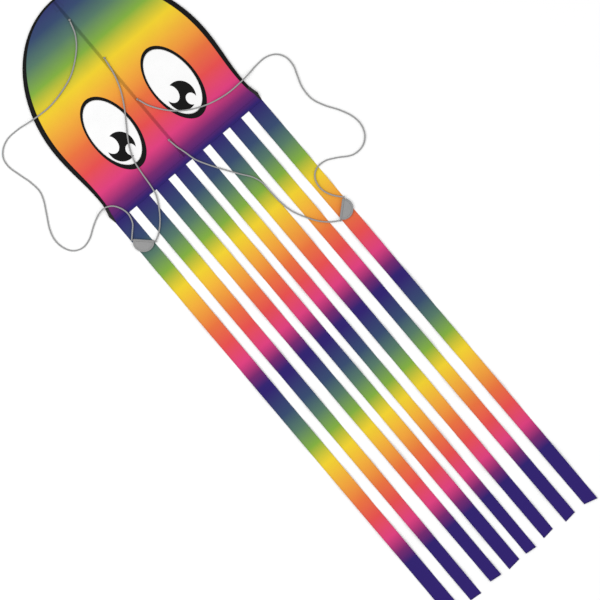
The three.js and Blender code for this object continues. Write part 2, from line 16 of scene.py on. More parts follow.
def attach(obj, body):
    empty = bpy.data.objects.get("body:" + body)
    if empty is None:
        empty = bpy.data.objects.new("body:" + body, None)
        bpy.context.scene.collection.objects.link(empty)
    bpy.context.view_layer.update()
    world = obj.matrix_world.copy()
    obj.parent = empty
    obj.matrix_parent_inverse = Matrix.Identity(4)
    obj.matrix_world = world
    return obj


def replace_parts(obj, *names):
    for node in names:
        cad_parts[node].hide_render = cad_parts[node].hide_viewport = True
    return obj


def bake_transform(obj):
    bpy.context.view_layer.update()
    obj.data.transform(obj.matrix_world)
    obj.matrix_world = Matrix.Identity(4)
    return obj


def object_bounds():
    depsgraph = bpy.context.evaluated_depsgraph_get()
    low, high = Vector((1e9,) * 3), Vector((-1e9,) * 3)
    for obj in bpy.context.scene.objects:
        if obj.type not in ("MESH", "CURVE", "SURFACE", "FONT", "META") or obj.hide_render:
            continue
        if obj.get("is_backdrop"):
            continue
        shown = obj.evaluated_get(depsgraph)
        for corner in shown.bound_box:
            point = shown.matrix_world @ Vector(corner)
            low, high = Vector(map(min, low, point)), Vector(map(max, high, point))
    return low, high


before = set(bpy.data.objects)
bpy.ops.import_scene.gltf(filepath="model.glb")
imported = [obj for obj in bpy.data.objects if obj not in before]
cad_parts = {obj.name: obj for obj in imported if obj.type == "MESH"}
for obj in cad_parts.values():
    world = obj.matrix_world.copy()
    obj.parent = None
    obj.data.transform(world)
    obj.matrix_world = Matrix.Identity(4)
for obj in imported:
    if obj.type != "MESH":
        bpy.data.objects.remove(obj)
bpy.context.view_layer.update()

# ---- camera ----

CAMERA_PLACE = (-0.0183, -0.0932, 13.6)
CAMERA_TURN = -0.7011
CAMERA_LENS = 200

camera_data = bpy.data.cameras.new("camera")
camera_data.lens = CAMERA_LENS
camera_data.sensor_width = 36
camera_data.clip_end = 200
camera = bpy.data.objects.new("camera", camera_data)
camera.location = CAMERA_PLACE
camera.rotation_euler = (0, 0, CAMERA_TURN)
bpy.context.scene.collection.objects.link(camera)
bpy.context.scene.camera = camera

# ---- mesh helpers ----


def mix(a, b, share):
    return a + (b - a) * share


def smooth(low, high, value):
    """0 below low, 1 above high, and smooth between; low may be the larger."""
    share = np.clip((value - low) / (high - low), 0, 1)
    return share * share * (3 - 2 * share)


def stacked(*columns):
    """Points from their coordinates, which may be arrays or single numbers."""
    return np.stack(np.broadcast_arrays(*columns), axis=-1).astype(float)


def add_mesh(name, points, faces, maps=None):
    """A mesh object. maps gives UV maps by name, with one pair for each point, or for each corner."""
    mesh = bpy.data.meshes.new(name)
    mesh.from_pydata(np.reshape(points, (-1, 3)).tolist(), [], faces)
    corner = np.zeros(len(mesh.loops), np.int32)
    mesh.loops.foreach_get("vertex_index", corner)
    for map_name, pairs in (maps or {}).items():
        pairs = np.reshape(pairs, (-1, 2))
        if len(pairs) != len(corner):
            pairs = pairs[corner]
        layer = mesh.uv_layers.new(name=map_name)
        layer.data.foreach_set("uv", pairs.astype(np.float32).ravel())
    work = bmesh.new()
    work.from_mesh(mesh)
    bmesh.ops.recalc_face_normals(work, faces=work.faces)
    work.to_mesh(mesh)
    work.free()
    mesh.polygons.foreach_set("use_smooth", [True] * len(mesh.polygons))
    mesh.update()
    piece = bpy.data.objects.new(name, mesh)
    bpy.context.scene.collection.objects.link(piece)
    return piece


def grid_faces(rows, columns, first=0):
    return [
        (a, a + 1, a + columns + 1, a + columns)
        for r in range(rows - 1)
        for a in range(first + r * columns, first + (r + 1) * columns - 1)
    ]


def slab(name, upper, lower, maps=None):
    """A closed thin piece between two grids of points, with the same maps on both sides."""
    rows, columns = upper.shape[:2]
    count = rows * columns
    faces = grid_faces(rows, columns) + [face[::-1] for face in grid_faces(rows, columns, count)]
    index = np.arange(count).reshape(rows, columns)
    rim = [*index[0], *index[1:, -1], *index[-1, -2::-1], *index[-2:0:-1, 0]]
    for a, b in zip(rim, rim[1:] + rim[:1]):
        faces.append((int(b), int(a), int(a) + count, int(b) + count))
    both = {key: np.concatenate([np.reshape(m, (-1, 2))] * 2) for key, m in (maps or {}).items()}
    points = np.concatenate([upper.reshape(-1, 3), lower.reshape(-1, 3)])
    return add_mesh(name, points, faces, both)


def directions(path, closed=False):
    if closed:
        step = np.roll(path, -1, axis=0) - np.roll(path, 1, axis=0)
    else:
        step = np.gradient(path, axis=0)
    return step / np.maximum(np.linalg.norm(step, axis=1, keepdims=True), 1e-12)


def run_lengths(path):
    """Length along a path to each of its points."""
    return np.concatenate([[0], np.cumsum(np.linalg.norm(np.diff(path, axis=0), axis=1))])


def tube_parts(path, radius, sides, closed=False, first=0):
    """Points, faces and corner pairs (length along, share round) of a round tube along a path."""
    path = np.asarray(path, float)
    along = directions(path, closed)
    side = np.cross(along, [0, 0, 1])
    side /= np.maximum(np.linalg.norm(side, axis=1, keepdims=True), 1e-9)
    top = np.cross(side, along)
    angle = np.arange(sides) / sides * 2 * math.pi
    reach = np.broadcast_to(radius, len(path))[:, None, None]
    rings = path[:, None] + reach * (
        side[:, None] * np.cos(angle)[:, None] + top[:, None] * np.sin(angle)[:, None]
    )
    length = run_lengths(path)
    if closed:
        length = np.append(length, length[-1] + np.linalg.norm(path[0] - path[-1]))
    faces, pairs = [], []
    count = len(path)
    for r in range(count if closed else count - 1):
        n = (r + 1) % count
        for k in range(sides):
            j = (k + 1) % sides
            faces.append(tuple(first + v for v in (
                r * sides + k, r * sides + j, n * sides + j, n * sides + k
            )))
            pairs += [
                (length[r], k / sides), (length[r], (k + 1) / sides),
                (length[r + 1], (k + 1) / sides), (length[r + 1], k / sides),
            ]
    if not closed:
        for r, order in ((0, -1), (count - 1, 1)):
            faces.append(tuple(first + r * sides + k for k in range(sides))[::order])
            pairs += [(length[r], k / sides) for k in range(sides)][::order]
    return rings.reshape(-1, 3), faces, pairs


def tube(name, path, radius, sides, closed=False):
    points, faces, pairs = tube_parts(path, radius, sides, closed)
    return add_mesh(name, points, faces, {"strand_map": pairs})


def joined(name, parts):
    """One mesh of many separate closed bits. parts is a list of functions of the first index."""
    points, faces, pairs, first = [], [], [], 0
    for part in parts:
        p, f, m = part(first)
        points.append(p)
        faces += f
        pairs += m
        first += len(p)
    return add_mesh(name, np.concatenate(points), faces, {"strand_map": pairs})


def resampled(path, step=None, count=None):
    """The path again with evenly spaced points."""
    path = np.asarray(path, float)
    length = run_lengths(path)
    count = count or max(2, round(length[-1] / step) + 1)
    at = np.linspace(0, length[-1], count)
    return np.stack([np.interp(at, length, path[:, k]) for k in range(path.shape[1])], axis=1)


def strip_cut(widths, places):
    """The flat size and area of a cut whose width is known at places along it."""
    widths, places = np.asarray(widths, float), np.asarray(places, float)
    length = abs(places[-1] - places[0])
    area = float(np.sum((widths[1:] + widths[:-1]) / 2 * np.abs(np.diff(places))))
    widest = math.ceil(widths.max() * 1e4) / 1e4
    return {"flat": (widest, math.ceil(length * 1e4) / 1e4), "area": round(area, 6)}


def lengths_across(points):
    """Length of each row of points."""
    return np.linalg.norm(np.diff(points, axis=1), axis=2).sum(axis=1)


# ---- finishes ----


def linear(code):
    """A scene colour from a hex colour code."""
    shares = [int(code[i:i + 2], 16) / 255 for i in (0, 2, 4)]
    return tuple(s / 12.92 if s <= 0.04045 else ((s + 0.055) / 1.055) ** 2.4 for s in shares) + (1,)


class Finish:
    """A material with a Principled shader, and short ways to add the nodes that feed it."""

    def __init__(self, name, **shader_values):
        self.material = bpy.data.materials.new(name)
        self.material.use_nodes = True
        self.tree = self.material.node_tree
        self.tree.nodes.clear()
        out = self.tree.nodes.new("ShaderNodeOutputMaterial")
        self.shader = self.tree.nodes.new("ShaderNodeBsdfPrincipled")
        self.tree.links.new(self.shader.outputs[0], out.inputs["Surface"])
        for key, value in shader_values.items():
            self.shader.inputs[key.replace("_", " ")].default_value = value

    def add(self, kind, inputs=None, output=0, **settings):
        node = self.tree.nodes.new("ShaderNode" + kind)
        for key, value in settings.items():
            setattr(node, key, value)
        for key, value in (inputs or {}).items():
            if isinstance(value, bpy.types.NodeSocket):
                self.tree.links.new(value, node.inputs[key])
            else:
                node.inputs[key].default_value = value
        return node.outputs[output]

    def calc(self, operation, a, b=0.0, c=0.0):
        return self.add("Math", {0: a, 1: b, 2: c}, operation=operation)

    def times(self, a, b):
        return self.calc("MULTIPLY", a, b)

    def plus(self, a, b):
        return self.calc("ADD", a, b)

    def pair(self, map_name):
        """The two numbers of a UV map, each in its own socket."""
        split = self.tree.nodes.new("ShaderNodeSeparateXYZ")
        self.tree.links.new(self.add("UVMap", uv_map=map_name), split.inputs[0])
        return split.outputs[0], split.outputs[1]

    def plain(self, code):
        """One colour all over."""
        colour = self.add("RGB")
        colour.default_value = linear(code)
        return colour

    def place(self):
        return self.add("TexCoord", output="Object")

    def noise(self, where, scale, detail=2.0, stretch=None):
        if stretch:
            where = self.add("Mapping", {"Vector": where, "Scale": stretch})
        return self.add("TexNoise", {"Vector": where, "Scale": scale, "Detail": detail})

    def wave(self, value, length):
        """Runs smoothly between 0 and 1, once for each length."""
        swing = self.calc("SINE", self.times(value, 2 * math.pi / length))
        return self.scaled(swing, 0.5, 0.5)

    def between(self, value, low, high, at_low=0.0, at_high=1.0):
        return self.add(
            "MapRange",
            {"Value": value, "From Min": low, "From Max": high, "To Min": at_low, "To Max": at_high},
            interpolation_type="SMOOTHSTEP",
        )

    def shaded(self, colour, amount):
        """The colour made lighter or darker by a number round 1."""
        return self.add("VectorMath", {0: colour, "Scale": amount}, operation="SCALE")

    def scaled(self, value, scale, base):
        return self.calc("MULTIPLY_ADD", value, scale, base)

    def surface(self, code, relief, wear, light, rough, **bump):
        """A plain colour with painted shade from its relief, lighter or darker with its wear, and
        roughened by its wear.

        light is the relief's share of painted shade, the base and the wear's share; rough is the wear's
        share and the base.
        """
        # painted shade: raised parts of the relief lighter, its hollows darker
        shade = self.plus(self.scaled(relief, light[0], light[1]), self.times(wear, light[2]))
        return self.feed(self.shaded(self.plain(code), shade), self.scaled(wear, *rough), **bump)

    def feed(self, colour=None, roughness=None, height=None, depth=0.0002, strength=0.5):
        wanted = {"Base Color": colour, "Roughness": roughness}
        if height is not None:
            wanted["Normal"] = self.add(
                "Bump", {"Height": height, "Distance": depth, "Strength": strength}
            )
        for key, value in wanted.items():
            if value is not None:
                self.tree.links.new(value, self.shader.inputs[key])
        return self.material


RAINBOW = [  # one run of the print, from the nose down
    ("navy", 0.00, "302070"),
    ("slate blue", 0.13, "384C70"),
    ("sea green", 0.22, "587C68"),
    ("leaf green", 0.32, "84B040"),
    ("yellow", 0.42, "F4D430"),
    ("amber", 0.52, "F4B03C"),
    ("orange", 0.65, "EC7440"),
    ("coral", 0.75, "E85050"),
    ("pink", 0.86, "E04080"),
    ("purple", 0.94, "782870"),
    ("navy", 1.00, "302070"),
]
WEAVE = 0.0007  # one over-and-under of the cloth
RIP_STOP = 0.006  # between the thicker threads
CLOTH_LIGHT = 0.82  # brightness of the cloth between its threads
THREAD_HIGHLIGHT, RIP_STOP_HIGHLIGHT, HANDLED_LIGHT = 0.06, 0.05, 0.08  # what each adds: on the threads and the rip-stop threads it is painted highlight on their raised tops, and handling adds uneven tone
ROD_SHADOW = 0.6  # brightness left where the spine shows through
ROD_SHADOW_HALF_WIDTHS = (0.003, 0.0072)  # where that is full and where it ends
STITCH = 0.0036  # one stitch and its gap
STITCH_INSET = 0.0034  # from a hemmed edge to its seam


def cloth_finish(name, code=None, shows_spine=False, hemmed=False, **shader_values):
    """Thin plain-weave cloth with rip-stop threads. With no colour code it carries the rainbow print."""
    f = Finish(name, Sheen_Weight=0.02, Sheen_Roughness=0.45, **shader_values)
    across, along = f.pair("cloth_map")
    if code is None:
        run = f.calc("FRACT", f.pair("print_map")[1])
        ramp = f.tree.nodes.new("ShaderNodeValToRGB")
        f.tree.links.new(run, ramp.inputs[0])
        stops = ramp.color_ramp.elements
        for stop, named in zip(stops, (RAINBOW[0], RAINBOW[-1])):
            stop.position, stop.color = named[1], linear(named[2])
        for named in RAINBOW[1:-1]:
            stops.new(named[1]).color = linear(named[2])
        colour = ramp.outputs[0]
    else:
        colour = f.plain(code)
    threads = f.times(f.wave(across, WEAVE), f.wave(along, WEAVE))
    ribs = f.calc(
        "MAXIMUM",
        f.between(f.wave(across, RIP_STOP), 0.97, 1),
        f.between(f.wave(along, RIP_STOP), 0.97, 1),
    )
    handled = f.noise(f.place(), 9)
    crinkles = f.noise(f.place(), 55, 4)
    # painted highlight on the raised threads and rip-stop threads, from the same waves as their bump, plus
    # uneven tone from handling
    light = f.plus(f.times(threads, THREAD_HIGHLIGHT), f.times(ribs, RIP_STOP_HIGHLIGHT))
    light = f.plus(light, f.times(handled, HANDLED_LIGHT))
    light = f.plus(light, CLOTH_LIGHT)
    height = f.plus(f.times(threads, 0.25), f.times(ribs, 0.35))
    height = f.plus(height, crinkles)
    if shows_spine:
        from_spine = f.calc("ABSOLUTE", across)
        light = f.times(light, f.between(from_spine, *ROD_SHADOW_HALF_WIDTHS, ROD_SHADOW, 1.0))
    if hemmed:
        inset, run_along = f.pair("hem_map")
        off_seam = f.calc("ABSOLUTE", f.calc("SUBTRACT", inset, STITCH_INSET))
        on_seam = f.between(off_seam, 0.0005, 0.0003)
        stitch = f.between(f.wave(run_along, STITCH), 0.2, 0.35)
        thread = f.times(on_seam, stitch)
        light = f.times(light, f.between(inset, 0.0, 0.0025, 0.82, 1.0))
        light = f.times(light, f.scaled(thread, -0.3, 1.0))
        height = f.plus(height, thread)
    rough = f.scaled(handled, 0.16, 0.42)
    return f.feed(f.shaded(colour, light), rough, height, strength=0.35)


def webbing_finish(name, code):
    f = Finish(name, Specular_IOR_Level=0.3)
    across, along = f.pair("cloth_map")
    ribs = f.wave(along, 0.0018)
    fill = f.wave(f.plus(across, f.times(ribs, 0.0004)), 0.0012)
    height = f.plus(ribs, f.times(fill, 0.6))
    worn = f.noise(f.place(), 60)
    # painted shade between the ribs of the weave, from their height; worn is uneven wear
    return f.surface(code, height, worn, (0.3, 0.6, 0.35), (0.2, 0.65), height=height, depth=0.0004)


def strand_finish(name, code, plait, turns, depth):
    """Braided or twisted strands. plait is the length of one crossing, turns how many go round."""
    f = Finish(name, Specular_IOR_Level=0.25)
    along, round_it = f.pair("strand_map")
    right = f.wave(f.plus(f.times(along, 1 / plait), f.times(round_it, turns)), 1)
    left = f.wave(f.calc("SUBTRACT", f.times(round_it, turns), f.times(along, 1 / plait)), 1)
    height = f.calc("MAXIMUM", right, left)
    fuzz = f.noise(f.place(), 220, 3)
    # painted shade between the strands, from their height; fuzz is uneven tone
    return f.surface(code, height, fuzz, (0.3, 0.72, 0.14), (0.2, 0.6), height=height, depth=depth)


def foam_finish(name, code):
    """Knitted cover over foam."""
    f = Finish(name, Sheen_Weight=0.1, Specular_IOR_Level=0.3)
    cells = f.add("TexVoronoi", {"Vector": f.place(), "Scale": 900.0})
    mottle = f.noise(f.place(), 70, 4)
    height = f.plus(cells, mottle)
    # painted shade round the knit's cells, from their pattern; mottle is uneven tone
    return f.surface(code, cells, mottle, (0.1, 0.86, 0.14), (0.2, 0.65), height=height, depth=0.0003)


def rod_finish(name, code, stretch, scale, gloss, **shader_values):
    """Drawn or moulded rod parts, with fine marks stretched along one axis."""
    f = Finish(name, **shader_values)
    marks = f.noise(f.place(), scale, 3, stretch)
    base = f.plain(code)
    light = f.scaled(marks, 0.5, 0.75)
    rough = f.scaled(marks, 0.25, gloss)
    return f.feed(f.shaded(base, light), rough, marks, depth=0.0001)


FINISHES = {
    "sail": cloth_finish("sail_cloth", shows_spine=True, Specular_IOR_Level=0.08),
    "tail": cloth_finish("tail_cloth", hemmed=True, Specular_IOR_Level=0.08),
    "black": cloth_finish("black_cloth", "0F0F0F", Specular_IOR_Level=0.1),
    "white": cloth_finish("white_cloth", "FFFFFF", Specular_IOR_Level=0.25),
    "webbing": webbing_finish("black_webbing", "1C1C1E"),
    "line": strand_finish("braided_line", "969696", 0.007, 6, 0.0006),
    "dark_thread": strand_finish("dark_thread", "242428", 0.0012, 2, 0.0002),
    "white_thread": strand_finish("white_thread", "EDEDEA", 0.0012, 2, 0.0002),
    "grey_thread": strand_finish("grey_thread", "7C7C7C", 0.0012, 2, 0.0002),
    "grip": foam_finish("grip_cover", "929292"),
    "grip_binding": strand_finish("grip_binding", "8C8C8C", 0.003, 8, 0.0003),
    "rod": rod_finish("glass_fibre", "2A2A2C", (1, 0.05, 1), 900.0, 0.25, Coat_Weight=0.3),
    "metal": rod_finish("ferrule_metal", "B8BABD", (1, 0.1, 1), 700.0, 0.25, Metallic=1.0),
    "cap": rod_finish("cap_vinyl", "18181A", (1, 1, 1), 300.0, 0.4),
}


def finish_piece(piece, finish, body=None):
    piece.data.materials.append(FINISHES[finish])
    if body:
        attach(piece, body)
    return piece


# ---- lines ----

LINE_DIAMETER = 0.006
LINE_STEP = 0.004
KNOTS = {
    "left_upper": (0.000, 1.385),
    "left_lower": (0.009, 1.175),
    "right_upper": (0.003, 0.960),
    "right_lower": (-0.006, 0.750),
}
KNOT_Z = 0.0106
GRIPS = {
    "left": {"place": (-0.350, 0.5025), "heading": -44, "ends": {"upper": -1, "lower": 1}},
    "right": {"place": (0.353, 0.080), "heading": 42, "ends": {"upper": 1, "lower": -1}},
}
GRIP_AXIS_Z = 0.0066
STOPPER_OFFSET = 0.0485
ROUTES = {
    "left_upper": [
        (-0.002, 1.379, 0.0106), (-0.018, 1.330, 0.0106), (-0.045, 1.288, 0.0106),
        (-0.087, 1.247, 0.0106), (-0.143, 1.208, 0.0106), (-0.207, 1.184, 0.0106),
        (-0.284, 1.168, 0.0106), (-0.345, 1.168, 0.0107), (-0.386, 1.172, 0.0107),
        (-0.415, 1.176, 0.0066), (-0.447, 1.180, 0.0033), (-0.506, 1.178, 0.0031),
        (-0.547, 1.158, 0.0031), (-0.570, 1.130, 0.0031), (-0.576, 1.090, 0.0031),
        (-0.564, 1.037, 0.0031), (-0.549, 0.982, 0.0031), (-0.544, 0.931, 0.0031),
        (-0.555, 0.893, 0.0031), (-0.584, 0.839, 0.0031), (-0.613, 0.785, 0.0031),
        (-0.625, 0.738, 0.0031), (-0.618, 0.691, 0.0031), (-0.596, 0.657, 0.0031),
        (-0.558, 0.641, 0.0031), (-0.514, 0.651, 0.0031), (-0.473, 0.677, 0.0031),
        (-0.443, 0.694, 0.0036), (-0.419, 0.704, 0.0078), (-0.394, 0.708, 0.0117),
        (-0.370, 0.702, 0.0116), (-0.349, 0.686, 0.0109), (-0.334, 0.660, 0.0106),
        (-0.328, 0.638, 0.0081), (-0.328, 0.617, 0.0047), (-0.339, 0.585, 0.0042),
        (-0.360, 0.562, 0.0044), (-0.3807, 0.5406, 0.0062),
    ],
    "left_lower": [
        (0.0075, 1.1692, 0.0106), (0.003, 1.136, 0.0106), (-0.005, 1.093, 0.0106),
        (-0.022, 1.040, 0.0106), (-0.046, 0.991, 0.0106), (-0.071, 0.950, 0.0106),
        (-0.099, 0.909, 0.0106), (-0.128, 0.866, 0.0106), (-0.153, 0.821, 0.0106),
        (-0.169, 0.777, 0.0106), (-0.177, 0.722, 0.0106), (-0.182, 0.664, 0.0106),
        (-0.185, 0.640, 0.0084), (-0.189, 0.618, 0.0048), (-0.203, 0.586, 0.0042),
        (-0.229, 0.544, 0.0042), (-0.257, 0.510, 0.0042), (-0.286, 0.485, 0.0044),
        (-0.3098, 0.4717, 0.0062),
    ],
    "right_upper": [
        (0.0052, 0.9543, 0.0106), (0.018, 0.919, 0.0106), (0.042, 0.879, 0.0106),
        (0.082, 0.832, 0.0106), (0.131, 0.795, 0.0106), (0.187, 0.767, 0.0106),
        (0.243, 0.750, 0.0106), (0.303, 0.741, 0.0106), (0.356, 0.741, 0.0107),
        (0.396, 0.744, 0.0107), (0.426, 0.748, 0.0066), (0.458, 0.753, 0.0033),
        (0.512, 0.754, 0.0031), (0.552, 0.737, 0.0031), (0.576, 0.702, 0.0031),
        (0.578, 0.656, 0.0031), (0.563, 0.611, 0.0031), (0.548, 0.563, 0.0031),
        (0.548, 0.503, 0.0031), (0.570, 0.450, 0.0031), (0.606, 0.393, 0.0031),
        (0.629, 0.341, 0.0031), (0.634, 0.294, 0.0031), (0.617, 0.249, 0.0031),
        (0.581, 0.222, 0.0031), (0.530, 0.220, 0.0031), (0.470, 0.254, 0.0031),
        (0.427, 0.274, 0.0034), (0.385, 0.275, 0.0042), (0.356, 0.257, 0.0042),
        (0.341, 0.224, 0.0042), (0.342, 0.186, 0.0042), (0.360, 0.147, 0.0044),
        (0.3851, 0.1171, 0.0062),
    ],
    "right_lower": [
        (-0.0052, 0.7442, 0.0106), (0.000, 0.712, 0.0106), (0.008, 0.684, 0.0106),
        (0.014, 0.662, 0.0106), (0.019, 0.640, 0.0084), (0.026, 0.618, 0.0048),
        (0.046, 0.580, 0.0042), (0.082, 0.522, 0.0042), (0.124, 0.461, 0.0042),
        (0.159, 0.412, 0.0042), (0.173, 0.372, 0.0042), (0.175, 0.325, 0.0042),
        (0.178, 0.268, 0.0042), (0.189, 0.210, 0.0042), (0.213, 0.158, 0.0042),
        (0.246, 0.106, 0.0042), (0.282, 0.070, 0.0044), (0.312, 0.0508, 0.0062),
    ],
}


def smooth_route(points, per_gap=16):
    """A centripetal Catmull-Rom curve through the points."""
    points = np.asarray(points, float)
    first, last = 2 * points[0] - points[1], 2 * points[-1] - points[-2]
    points = np.vstack([first, points, last])
    share = np.arange(per_gap)[:, None] / per_gap
    path = []
    for i in range(1, len(points) - 2):
        p0, p1, p2, p3 = points[i - 1:i + 3]
        gaps = [np.linalg.norm(b - a) ** 0.5 for a, b in ((p0, p1), (p1, p2), (p2, p3))]
        t1, t2, t3 = np.cumsum(gaps)
        t = t1 + share * (t2 - t1)
        a1 = (t1 - t) / t1 * p0 + t / t1 * p1
        a2 = (t2 - t) / (t2 - t1) * p1 + (t - t1) / (t2 - t1) * p2
        a3 = (t3 - t) / (t3 - t2) * p2 + (t - t2) / (t3 - t2) * p3
        b1 = (t2 - t) / t2 * a1 + t / t2 * a2
        b2 = (t3 - t) / (t3 - t1) * a2 + (t - t1) / (t3 - t1) * a3
        path.append((t2 - t) / (t2 - t1) * b1 + (t - t1) / (t2 - t1) * b2)
    return np.vstack([*path, points[-2]])


def knot_path(centre, reach, rise, count=72):
    """A closed overhand knot, pulled tight."""
    t = np.arange(count) / count * 2 * math.pi
    out = (2 + np.cos(3 * t)) / 3 * reach
    loop = stacked(out * np.cos(2 * t), out * np.sin(2 * t), rise * np.sin(3 * t))
    return np.asarray(centre) + loop


def grip_end(side, end):
    """Where a run of line ends, in the stopper knot at a grip's tip."""
    grip = GRIPS[side]
    angle = math.radians(grip["heading"])
    offset = grip["ends"][end] * STOPPER_OFFSET
    x, y = grip["place"]
    return x + offset * math.cos(angle), y + offset * math.sin(angle), GRIP_AXIS_Z


lines = {}
LINE_PATHS = {}
for name, route in ROUTES.items():
    side, end = name.split("_")
    path = resampled(smooth_route([*route, grip_end(side, end)]), step=LINE_STEP)
    path[:, 2] = np.maximum(path[:, 2], LINE_DIAMETER / 2)
    LINE_PATHS[name] = path
    line = tube(f"line_{name}", path, LINE_DIAMETER / 2, 12)
    lines[name] = finish_piece(line, "line", "kite")
    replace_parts(line, f"{name}_line")

TIE_REACH, TIE_RISE, TIE_STRAND = 0.0036, 0.0022, 0.0015
ties = {}
for name, (x, y) in KNOTS.items():
    stem = [(x, y, 0.0058), (x, y + 0.0004, 0.0075), (x, y, 0.0100)]
    knot = knot_path((x, y, KNOT_Z), TIE_REACH, TIE_RISE)
    ties[name] = finish_piece(
        joined(f"tie_{name}", [
            lambda first, p=knot: tube_parts(p, TIE_STRAND, 8, True, first),
            lambda first, p=stem: tube_parts(p, TIE_STRAND, 8, False, first),
        ]),
        "line", "kite",
    )
    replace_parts(ties[name], f"{name}_knot")

STOPPER_REACH, STOPPER_RISE, STOPPER_STRAND, CORE_RADIUS = 0.0033, 0.0026, 0.0013, 0.0019
stoppers = {}
for side in GRIPS:
    ends = [np.array(grip_end(side, end)) for end in ("upper", "lower")]
    core = resampled(ends, count=24)
    parts = [lambda first, p=core: tube_parts(p, CORE_RADIUS, 10, False, first)]
    for place in ends:
        knot = knot_path(place, STOPPER_REACH, STOPPER_RISE)
        parts.append(lambda first, p=knot: tube_parts(p, STOPPER_STRAND, 8, True, first))
    stoppers[side] = finish_piece(joined(f"stoppers_{side}", parts), "line", "kite")
    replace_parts(stoppers[side], f"stopper_knots_{side}")

for name, line in lines.items():
    side = name.split("_")[0]

# ---- the head's outline ----

HALF_LENGTH = 1.494
HEAD_HALF_WIDTH = 0.400
WIDEST_Y = 0.996
DOME_HEIGHT = HALF_LENGTH - WIDEST_Y
MEAN_DOME_RADIUS = 0.45
NECK_HALF_WIDTH, NECK_Y = 0.3835, 0.740
CORNER_HALF_WIDTH, CORNER_Y = 0.3955, 0.667
SKIRT_HALF_WIDTH, SKIRT_Y = 0.390, 0.635
SLEEVE_END_Y = 0.700
HEM_TOP_Y, SEAM_Y = 0.655, 0.633
BORDER_AT_NOSE, BORDER_AT_NECK = 0.009, 0.013
BORDER_SIDE_SWELL, BORDER_SWELL_POWER = 0.010, 0.8
BORDER_AT_SKIRT, BORDER_AT_CORNER = 0.005, 0.0145


def side_half_width(y):
    """Half the head's width below its widest line."""
    y = np.asarray(y, float)
    turn = math.pi * (WIDEST_Y - y) / (WIDEST_Y - NECK_Y)
    waist = mix(NECK_HALF_WIDTH, HEAD_HALF_WIDTH, (1 + np.cos(turn)) / 2)
    flare = mix(NECK_HALF_WIDTH, CORNER_HALF_WIDTH, ((NECK_Y - y) / (NECK_Y - CORNER_Y)) ** 2)
    skirt = mix(SKIRT_HALF_WIDTH, CORNER_HALF_WIDTH, (y - SKIRT_Y) / (CORNER_Y - SKIRT_Y))
    return np.where(y > NECK_Y, waist, np.where(y > CORNER_Y, flare, skirt))


def border_width(y):
    """Width of the black border, widest beside the eyes and pointed below the corner."""
    y = np.asarray(y, float)
    share = np.clip((HALF_LENGTH - y) / (HALF_LENGTH - NECK_Y), 0, 1)
    swell = BORDER_SIDE_SWELL * np.sin(math.pi * share) ** BORDER_SWELL_POWER
    round_part = mix(BORDER_AT_NOSE, BORDER_AT_NECK, share) + swell
    point = mix(BORDER_AT_SKIRT, BORDER_AT_CORNER, (y - SKIRT_Y) / (CORNER_Y - SKIRT_Y))
    return np.where(y < CORNER_Y, point, round_part)


def rim_half(bottom_y, step):
    """Right half of the rim from a height to the nose, evenly spaced, with the inward directions."""
    low = np.linspace(bottom_y, WIDEST_Y, 200)
    angle = np.linspace(0, math.pi / 2, 400)[1:]
    dome = stacked(HEAD_HALF_WIDTH * np.cos(angle), WIDEST_Y + DOME_HEIGHT * np.sin(angle))
    rim = resampled(np.vstack([stacked(side_half_width(low), low), dome]), step=step)
    along = directions(rim)
    inwards = stacked(-along[:, 1], along[:, 0])
    inwards[-1] = (0, -1)
    rim[-1, 0] = 0
    return rim, inwards


def whole_rim(bottom_y, step):
    """The rim from the right, over the nose, to the left."""
    rim, inwards = rim_half(bottom_y, step)
    flip = np.array([-1, 1])
    return (
        np.vstack([rim, rim[-2::-1] * flip]),
        np.vstack([inwards, inwards[-2::-1] * flip]),
    )


# ---- how the sail lies ----

SAIL_TOP = 0.0069
SAIL_THICKNESS = 0.0004
SPINE_RIDGE = 0.0004
PUCKER_LENGTH = 0.0052
FOLDS = [  # soft creases: from, to, half width and height, the widths in metres
    ((0.372, 0.690), (0.150, 0.835), 0.014, 0.0009),
    ((0.355, 0.665), (0.060, 0.705), 0.012, 0.0007),
    ((0.380, 0.760), (0.270, 0.900), 0.010, 0.0006),
    ((0.000, 1.385), (0.150, 1.330), 0.012, 0.0007),
    ((0.010, 1.175), (0.210, 1.205), 0.016, 0.0006),
    ((0.385, 1.040), (0.170, 1.130), 0.018, 0.0009),
    ((0.260, 1.350), (0.120, 1.260), 0.014, 0.0006),
    ((0.010, 0.750), (0.200, 0.715), 0.012, 0.0006),
    ((-0.372, 0.690), (-0.165, 0.800), 0.013, 0.0009),
    ((-0.350, 0.668), (-0.080, 0.690), 0.012, 0.0007),
    ((-0.380, 0.780), (-0.285, 0.915), 0.011, 0.0006),
    ((0.000, 1.385), (-0.130, 1.395), 0.012, 0.0006),
    ((-0.010, 1.175), (-0.190, 1.110), 0.017, 0.0006),
    ((-0.388, 1.080), (-0.200, 1.100), 0.018, 0.0008),
    ((-0.230, 1.370), (-0.110, 1.240), 0.014, 0.0006),
    ((-0.010, 0.950), (-0.060, 0.840), 0.010, 0.0004),
]


def fold_height(x, y, start, end, half_width, height):
    """A soft crease that fades along its length."""
    start, end = np.array(start), np.array(end)
    run = end - start
    long = np.hypot(*run)
    ahead = ((x - start[0]) * run[0] + (y - start[1]) * run[1]) / long ** 2
    aside = ((x - start[0]) * -run[1] + (y - start[1]) * run[0]) / long
    fade = smooth(-0.05, 0.2, ahead) * smooth(1.0, 0.35, ahead)
    width = half_width * (0.7 + 0.6 * np.clip(ahead, 0, 1))
    return height * fade * np.exp(-(aside / width) ** 2) * np.cos(aside / width * 1.2)


